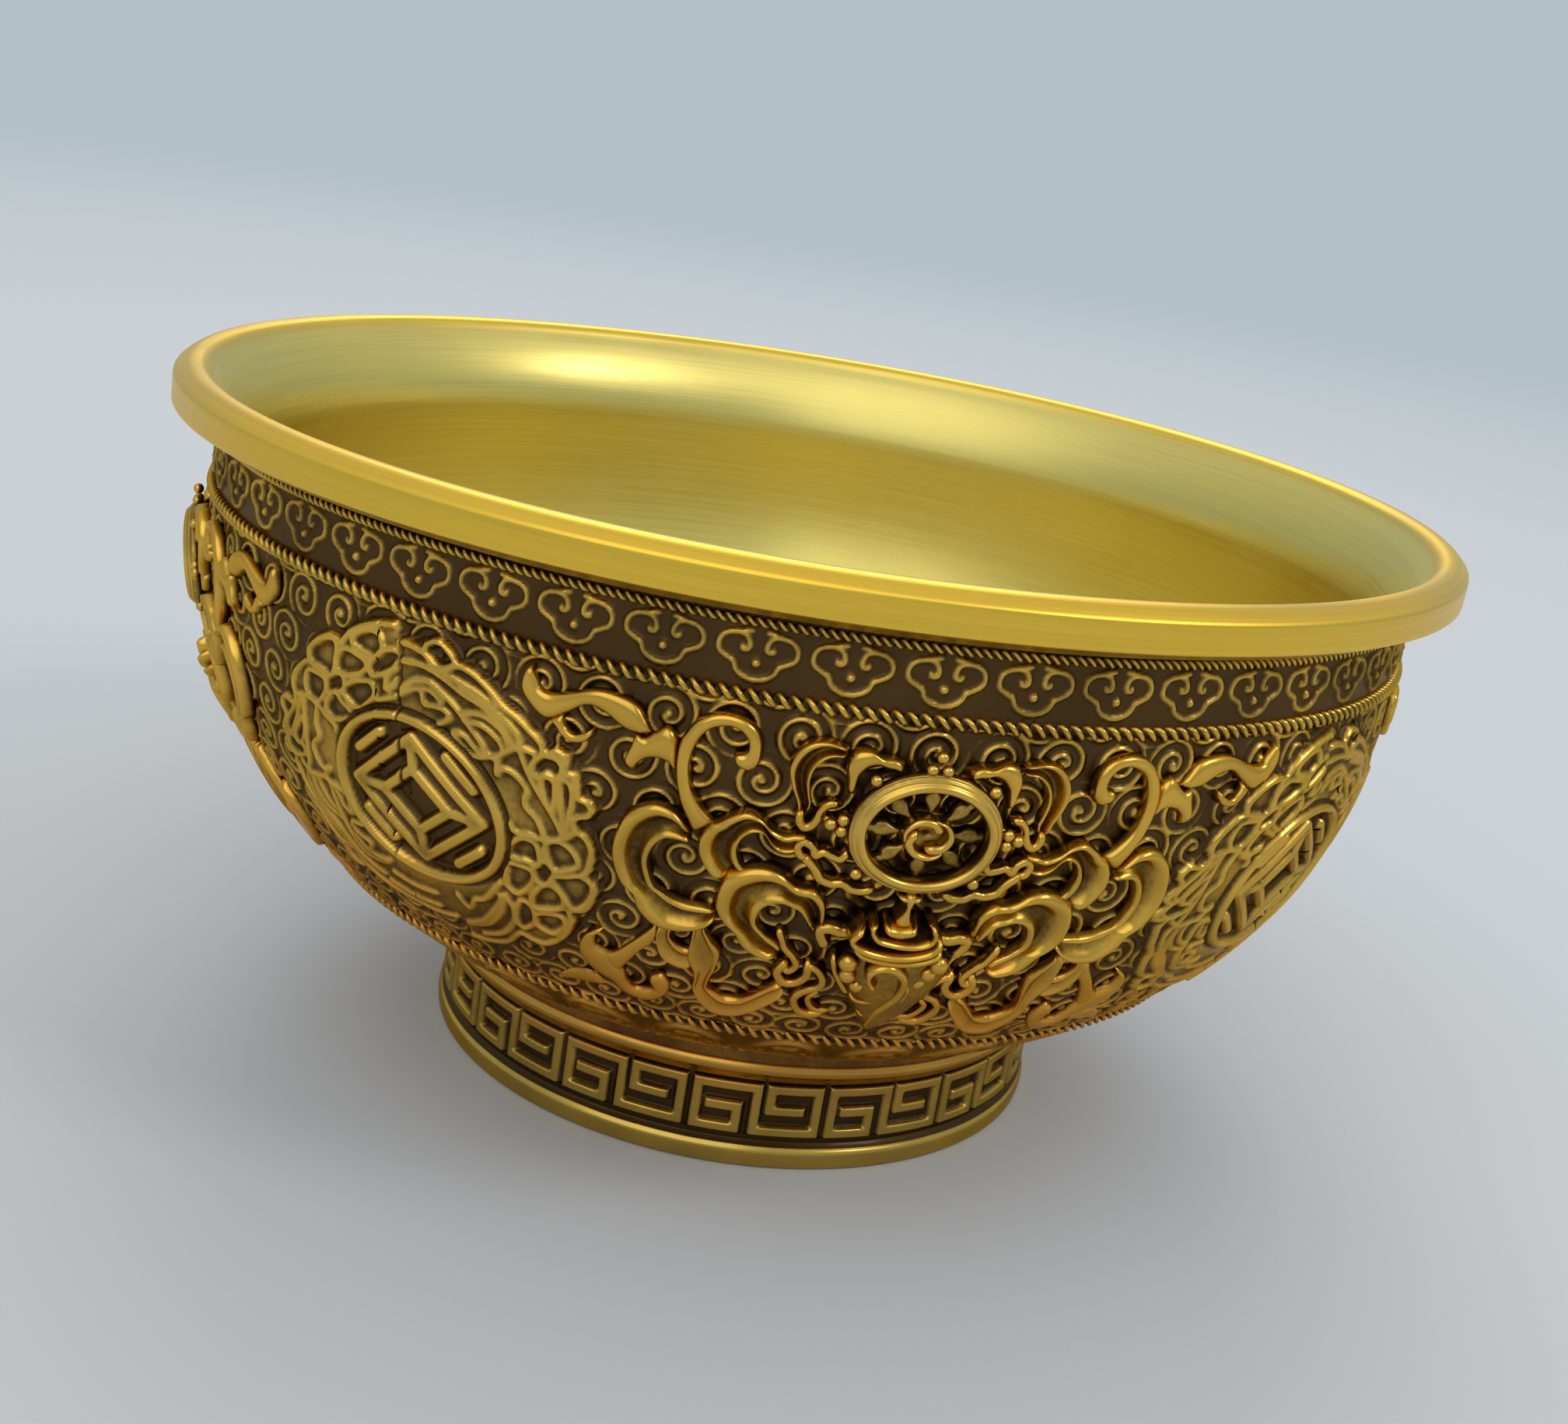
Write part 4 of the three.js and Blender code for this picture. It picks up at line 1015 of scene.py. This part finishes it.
cords = (
    (1.15, 0.55, [(-8.6, 25.3), (-8.6, 24.5), (-8.2, 24.0), (-7.7, 24.2), (-7.4, 24.8),
                  (-7.2, 25.5), (-6.7, 26.0), (-6.0, 25.9)]),
    (1.1, 0.5, [(-7.2, 24.9), (-6.6, 24.8), (-6.0, 24.6), (-5.6, 25.2), (-5.1, 25.0)]),
    (1.25, 0.55, [(-7.4, 21.7), (-8.0, 21.8), (-8.3, 22.4), (-8.0, 22.9), (-7.3, 22.6),
                  (-7.0, 22.0), (-6.5, 22.3), (-5.9, 22.1), (-5.2, 22.0), (-4.8, 22.8)]),
    (1.2, 0.6, [(-7.9, 21.8), (-7.3, 21.3), (-6.8, 20.8), (-6.3, 20.1), (-5.5, 19.8),
                (-4.7, 19.9), (-4.0, 19.5), (-3.1, 19.5), (-2.4, 19.9)]),
    (1.4, 0.75, [(-4.5, 14.0), (-5.1, 14.9), (-5.3, 15.7), (-4.7, 15.9), (-3.9, 15.7),
                 (-3.0, 15.8)]),
    (1.15, 0.5, [(-8.2, 15.0), (-7.8, 14.2), (-7.4, 13.3), (-6.6, 12.4), (-6.2, 11.5),
                 (-6.6, 10.8), (-7.1, 11.2)]),
    (1.1, 0.6, [(-6.9, 11.7), (-7.3, 10.4), (-6.7, 9.3), (-5.8, 9.4), (-5.2, 10.4),
                (-5.4, 11.9)]),
    (1.1, 0.55, [(-5.6, 11.5), (-4.7, 11.3), (-4.0, 10.3), (-4.0, 9.2), (-4.9, 8.5),
                 (-5.4, 7.4), (-4.9, 5.9), (-4.0, 5.3), (-2.8, 5.7)]),
    (0.9, 0.45, [(-3.8, 8.4), (-4.4, 7.6), (-4.1, 6.5), (-3.4, 5.8), (-2.4, 5.9)]),
)
scroll_finish = antique_brass_and_shade(
    "cast_scrolls", (0.66, 0.385, 0.055, 1), (0.055, 0.026, 0.004, 1), 0.28, 0.9, 0.1)
for side, name in ((1, "left"), (-1, "right")):
    sprays = [edged(rows, rise, section, side=side) for rise, section, rows in scrolls] + [
        ribbon([(*place, cord_fullness * width) for place in line], rise, rounded,
               foot=cord_foot, side=side)
        for rise, width, line in cords]
    for quarter in range(4):
        angle = quarter * np.pi / 2
        parts = [(turned_by(points, angle), faces, crest) for points, faces, crest in sprays]
        spray = shaped(f"cast_scrolls_{name}_{quarter + 1}", parts, scroll_finish)
        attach(spray, "root")
        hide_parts(f"scrolls_{name}_{quarter + 1}")


# Wheels: the highest relief of each panel. A stepped tyre stands clear of the ground on eight
# petal spokes, a hub of three commas sits in the middle, and a baluster joins it to the shell.
wheel_up = 24.85
wheel_half = (4.72, 3.95)
tyre_width = 1.25
bead_radius = 0.45
bead_lift = 1.5
tyre_rise, tyre_foot = 2.5, 1.1
spoke_rise, spoke_foot = 1.45, 0.6
hub_rise, hub_foot = 2.4, 0.9
boss_rise, boss_width = 1.4, 1.9
stem_rise, stem_foot = 2.2, 0.3
# Painted shade: the spokes and the boss sit lower than the tyre and the hub, so their crest is
# scaled down and they render darker.
spoke_shade = 0.5
spoke_line = ((0.32, 0.45), (0.46, 0.5), (0.60, 1.2), (0.72, 1.2), (0.80, 0.65), (0.95, 1.1))
comma_angles = np.array([205, 165, 125, 85, 50, 20])
comma_reach = (1.5, 1.5, 1.42, 1.2, 0.9, 0.7)
comma_width = (0.2, 0.45, 0.65, 0.75, 0.8, 0.6)
tyre = np.array([
    (-1, 0), (-0.98, 0.5), (-0.84, 0.84), (-0.55, 1), (-0.2, 1), (0.12, 0.86), (0.3, 0.70),
    (0.42, 0.74), (0.55, 0.68), (0.66, 0.50), (0.78, 0.54), (0.9, 0.44), (1, 0.3), (1, 0)])


def ring_line(half, up, width, count=16):
    """Closed line round an ellipse on the wall."""
    angle = np.linspace(0, 2 * np.pi, count, endpoint=False)
    return [(half[0] * np.cos(a), up + half[1] * np.sin(a), width) for a in angle]


def knob(across, up, lift, radius, rows=9, columns=14):
    """Ball on the wall, its centre raised by lift."""
    polar = np.linspace(0, np.pi, rows)[:, None]
    around = np.linspace(0, 2 * np.pi, columns, endpoint=False)[None]
    points = on_wall(
        across + radius * np.sin(polar) * np.cos(around),
        up + radius * np.sin(polar) * np.sin(around),
        lift - radius * np.cos(polar) + 0 * around)
    return points, woven(points, around=True), np.clip(0.6 - 0.5 * np.cos(polar), 0, 1)


wheel_parts = [ribbon(
    ring_line(wheel_half, wheel_up, tyre_width), tyre_rise, tyre, closed=True, foot=tyre_foot)]
for k in range(8):
    spoke_turn = radians(45 * k + 90)
    points, faces, crest = ribbon(
        [(wheel_half[0] * share * np.cos(spoke_turn),
          wheel_up + wheel_half[1] * share * np.sin(spoke_turn), width)
         for share, width in spoke_line], spoke_rise, rounded, foot=spoke_foot)
    wheel_parts.append((points, faces, spoke_shade * crest))
for k in range(3):
    comma_turns = np.radians(120 * k + comma_angles)
    wheel_parts.append(ribbon(
        [(reach * np.cos(around) * 1.1, wheel_up + reach * np.sin(around) * 0.95, width)
         for around, reach, width in zip(comma_turns, comma_reach, comma_width)],
        hub_rise, rounded, foot=hub_foot))
points, faces, crest = ribbon(
    ring_line((1.0, 0.85), wheel_up, boss_width, 8), boss_rise, rounded, closed=True)
wheel_parts.append((points, faces, spoke_shade * crest))
beads = [(across, along) for across in (-4.1, 4.1) for along in (-3.55, 3.55)]
beads += [(-0.53, 4.75), (0.53, 4.75), (0.0, 5.7)]
for side in (-1, 1):
    beads += [(side * 5.75, 0.42), (side * 5.75, -0.42), (side * 6.55, 0.0)]
wheel_parts += [
    knob(across, wheel_up + along, bead_lift, bead_radius) for across, along in beads]
wheel_parts.append(ribbon(
    [(0, 20.5, 0.9), (0, 19.7, 0.8), (0, 19.1, 0.5), (0, 18.4, 0.9), (0, 17.8, 1.4),
     (0, 17.3, 1.2)], stem_rise, rounded, foot=stem_foot))
wheel_parts.append(ribbon([(-1.0, 19.9, 0.5), (0, 19.8, 0.6), (1.0, 19.9, 0.5)], 2.1, rounded))
wheel_finish = antique_brass_and_shade(
    "cast_wheel", (0.68, 0.42, 0.075, 1), (0.045, 0.022, 0.004, 1), 0.20, 0.80, 0.1)
for quarter in range(4):
    angle = quarter * np.pi / 2
    parts = [(turned_by(points, angle), faces, crest) for points, faces, crest in wheel_parts]
    wheel = shaped(f"cast_wheel_{quarter + 1}", parts, wheel_finish)
    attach(wheel, "root")
    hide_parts(f"wheel_{quarter + 1}")


# Conch shells: under each wheel, a shell that stands on its point. A pleated mouth lies on top
# of a swelling, knobbed body, and a lip winds out of a small curl and runs down to the point.
shell_body = [
    (-2.79, 14.03, 3.83, 14.56, 1.9), (-3.63, 12.99, 4.46, 13.6, 2.2),
    (-3.75, 11.91, 4.93, 12.58, 2.3), (-3.28, 10.66, 4.77, 11.25, 2.3),
    (-2.56, 9.36, 4.31, 9.81, 2.2), (-1.73, 7.97, 3.71, 8.38, 2), (-1, 6.72, 3.05, 7.1, 1.8),
    (-0.14, 5.05, 2.07, 5.42, 1.4), (0.58, 3.65, 0.93, 3.45, 1)]
body_wear = 0.62
shell_line_foot = 0.3
shell_knob_lift = 1.75
shell_dome = np.stack([
    -np.cos(np.linspace(0, np.pi, 17)), np.sin(np.linspace(0, np.pi, 17)) ** 0.8], 1)
points, faces, crest = edged(shell_body, None, shell_dome)
shell_parts = [(points, faces, body_wear * crest)]
shell_lines = (
    [(-0.52, 12.47, 0.5, 3.1), (-0.92, 12.26, 0.5, 3.1), (-1.38, 12.9, 0.55, 3.1),
     (-1.39, 13.71, 0.65, 3.1), (-0.77, 14.22, 0.75, 3.1), (0.17, 14.1, 0.85, 3.1),
     (1.03, 13.16, 0.85, 3), (1.28, 11.94, 0.8, 2.8), (1.15, 10.64, 0.75, 2.6),
     (0.79, 9.54, 0.7, 2.4), (0.41, 8.46, 0.65, 2.2), (0.32, 7.08, 0.6, 1.9),
     (0.35, 5.81, 0.5, 1.6), (0.47, 4.52, 0.4, 1.3)],
    [(1.59, 12.24, 0.45, 2.6), (1.8, 11.06, 0.45, 2.4), (1.69, 9.6, 0.45, 2.1),
     (1.55, 8.2, 0.45, 1.8), (1.61, 6.62, 0.45, 1.4)],
    [(-1.35, 17.61, 0.6, 2.6), (-0.81, 17.22, 0.8, 2.6), (-0.07, 17.13, 0.9, 2.6),
     (0.71, 17.38, 0.8, 2.6), (1.04, 17.73, 0.6, 2.6)],
    [(-1.71, 17.4, 0.55, 2.8), (-2.08, 17.61, 0.55, 2.8), (-2.08, 17.19, 0.55, 2.8),
     (-1.58, 16.58, 0.55, 2.8), (-0.75, 16.33, 0.55, 2.8), (0.33, 16.19, 0.55, 2.8),
     (1.35, 16.29, 0.55, 2.8), (2.1, 16.7, 0.55, 2.8), (2.24, 17.31, 0.55, 2.8),
     (1.99, 17.87, 0.55, 2.8), (1.68, 17.81, 0.55, 2.8)],
    [(-2.57, 17.47, 0.65, 3), (-3.09, 16.98, 0.65, 3), (-3.3, 16.36, 0.65, 3),
     (-2.68, 15.76, 0.65, 3), (-1.56, 15.38, 0.65, 3), (-0.24, 15.23, 0.65, 3),
     (1.03, 15.36, 0.65, 3), (2.22, 15.86, 0.65, 3), (2.68, 16.51, 0.65, 3),
     (2.57, 17.09, 0.65, 3)],
    [(-3.03, 15.78, 0.65, 2.8), (-2.37, 15.07, 0.65, 2.8), (-1.12, 14.69, 0.65, 2.8),
     (0.48, 14.56, 0.65, 2.8), (1.87, 14.82, 0.65, 2.8), (2.79, 15.35, 0.65, 2.8),
     (3.17, 15.92, 0.65, 2.8)],
    [(-2.06, 9.92, 0.4, 2.1), (-1.08, 9.49, 0.4, 2.1), (-0.16, 9.62, 0.4, 2.1),
     (0.18, 10.13, 0.4, 2.1)],
    [(-0.89, 7.5, 0.4, 1.7), (-0.32, 7.18, 0.4, 1.7), (0.06, 7.32, 0.4, 1.7)],
    [(-3.94, 13.57, 0.6, 1.7), (-3.54, 12.22, 0.6, 1.7), (-2.69, 10.63, 0.6, 1.7),
     (-1.96, 9.59, 0.6, 1.7)],
)
shell_parts += [ribbon(points, None, rounded, foot=shell_line_foot) for points in shell_lines]
shell_knobs = (
    (-2.91, 13.55, 0.75), (-2.67, 12.25, 0.65), (-1.78, 11.18, 0.55), (3.49, 13.99, 0.75),
    (2.92, 13.08, 0.65), (2.42, 12.05, 0.55), (1.87, 10.9, 0.45))
shell_parts += [knob(across, up, shell_knob_lift, radius) for across, up, radius in shell_knobs]
shell_finish = antique_brass_and_shade(
    "cast_shell", (0.66, 0.385, 0.055, 1), (0.050, 0.024, 0.004, 1), 0.24, 0.9, 0.1)
for quarter in range(4):
    angle = quarter * np.pi / 2
    parts = [(turned_by(points, angle), faces, crest) for points, faces, crest in shell_parts]
    shell = shaped(f"cast_shell_{quarter + 1}", parts, shell_finish)
    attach(shell, "root")
    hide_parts(f"shell_{quarter + 1}")


# Lotus cup: a cast ring of thirty rounded petals that opens from the foot and carries the
# sleeve. Its brass takes a redder tint here, and dark hollows are left between the petals.
petals = 30
petal_turn = radians(-4.8)
petal_columns = 26
lotus_rows = 60
lotus_low, lotus_high = 10.3, 19.2
petal_foot = 12.2
petal_tip = 18.0
petal_wear = (0.34, 1.3)
cup_wall = 0.9
cup_bore = 26.0
lining_step = 5


def petal_relief(x, z):
    """Height of a petal over its share of the ring: a broad arch with a raised rim, and inside it
    a fan of five ribs with a scalloped foot."""
    up = (z - petal_foot) / (petal_tip - petal_foot)
    reach = np.hypot(x / 0.94, up)
    turn = np.arctan2(up, x)
    body = np.clip((1 - reach) / 0.08, 0, 1) * np.clip(up / 0.06, 0, 1)
    rim = bead(reach - 0.9, 0.1, 1.0)
    fan = np.clip((0.72 + 0.06 * np.cos(turn * 10) - reach) / 0.06, 0, 1)
    fan *= np.clip((up - 0.14 - 0.05 * np.cos(x * 21)) / 0.06, 0, 1)
    return body * (0.25 + 0.45 * rim + fan * (0.24 + 0.16 * np.abs(np.cos(turn * 5))))


tile_x = np.linspace(-1, 1, petal_columns, endpoint=False)[None]
cup_height = np.linspace(lotus_low, lotus_high, lotus_rows)[:, None]
tile = petal_relief(tile_x + 0 * cup_height, cup_height + 0 * tile_x)
tile = softened(tile, 1)
tile_crest = np.clip(petal_wear[0] + petal_wear[1] * tile, 0, 1)
cup_angle = (np.arange(petals)[:, None] * 2 + tile_x).ravel() * np.pi / petals + petal_turn
relief, cup_crest = np.tile(tile, petals), np.tile(tile_crest, petals)
radius = np.maximum(body_radius_at(cup_height), neck_radius) + relief
outer = np.stack([
    radius * np.sin(cup_angle), -radius * np.cos(cup_angle), cup_height + 0 * radius], -1)
inner_height = cup_height[::-1][::lining_step]
inner_radius = np.maximum(body_radius_at(inner_height, cup_wall), cup_bore)
inner = np.stack([
    inner_radius * np.sin(cup_angle), -inner_radius * np.cos(cup_angle),
    inner_height + 0 * cup_angle], -1)
cup_points = np.concatenate([outer, inner])
cup_crest = np.concatenate([cup_crest, np.zeros(inner.shape[:2])])
cup_finish = antique_brass_and_shade(
    "coppery_petals", (0.56, 0.33, 0.060, 1), (0.110, 0.055, 0.012, 1), 0.15, 0.95, 0.1)
cup = shaped(
    "petal_cup", [(cup_points, woven(cup_points, around=True, along=True), cup_crest)],
    cup_finish)
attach(cup, "root")
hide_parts("lotus_cup")


# Foot ring: turned brass with a plain bead to stand on, a sunk band that holds fifteen raised
# key fret units, and a plain bead under the petals.
foot_radius = 28.8
foot_bore = 26.0
fret_units = 15
fret_turn = radians(-5.0)
fret_columns = 60
fret_low, fret_high = 2.1, 8.3
fret_depth = 0.6
fret_bar = 0.47
fret_wear = (0.05, 0.85)


def fret_relief(x, z):
    """Height of a key fret unit: square bars that coil in on both sides of the middle."""
    path = np.array([
        (-4.15, 5.5), (-1.7, 5.5), (-1.7, 3.45), (-5.35, 3.45), (-5.35, 7.45), (-0.1, 7.45),
        (-0.1, 3.45), (5.35, 3.45), (5.35, 7.45), (1.15, 7.45), (1.15, 5.45), (3.8, 5.45)])
    away = np.full(x.shape, 9.0)
    for (ax, az), (bx, bz) in zip(path[:-1], path[1:]):
        dx = np.maximum(np.maximum(min(ax, bx) - x, x - max(ax, bx)), 0)
        dz = np.maximum(np.maximum(min(az, bz) - z, z - max(az, bz)), 0)
        away = np.minimum(away, np.maximum(dx, dz))
    return fret_depth * np.clip((fret_bar - away) / 0.16 + 0.5, 0, 1)


low_bead = curve_through([(28.5, 0.0), (28.98, 0.25), (29.1, 0.9), (29.05, 1.6), (28.85, 1.95)], 5)
high_bead = curve_through([
    (28.8, 8.35), (29.05, 8.6), (29.35, 9.0), (29.75, 9.35), (29.85, 9.8), (29.7, 10.2),
    (29.5, 10.45)], 5)
fret_height = np.linspace(fret_low, fret_high, 50)
fret_floor = foot_radius - fret_depth * np.clip(
    np.minimum(fret_height - fret_low, fret_high - fret_height) / 0.12, 0, 1)
foot_profile = np.vstack([
    low_bead, np.stack([fret_floor, fret_height], 1), high_bead,
    [(foot_bore, 10.45), (foot_bore + 0.2, 5.0), (foot_bore, 0.0), (28.2, 0.0)]])
tile_x = np.linspace(-np.pi, np.pi, fret_columns, endpoint=False) / fret_units
relief = np.zeros((len(foot_profile), fret_columns))
rows = slice(len(low_bead), len(low_bead) + len(fret_height))
relief[rows] = fret_relief(
    (tile_x * foot_radius)[None] + 0 * fret_height[:, None], fret_height[:, None] + 0 * tile_x)
relief = np.tile(relief, fret_units)
foot_angle = (
    np.arange(fret_units)[:, None] * 2 * np.pi / fret_units + tile_x).ravel() + fret_turn
radius = foot_profile[:, :1] + relief
foot_points = np.stack([
    radius * np.sin(foot_angle), -radius * np.cos(foot_angle),
    foot_profile[:, 1:] + 0 * radius], -1)
foot_crest = np.ones(radius.shape)
foot_crest[rows] = fret_wear[0] + fret_wear[1] * relief[rows] / fret_depth
foot_finish = antique_brass_and_shade(
    "turned_foot", (0.52, 0.34, 0.065, 1), (0.055, 0.030, 0.008, 1), 0.20, 0.95, 0.1)
foot = shaped(
    "fret_foot", [(foot_points, woven(foot_points, around=True, along=True), foot_crest)],
    foot_finish)
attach(foot, "root")
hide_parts("foot_ring")
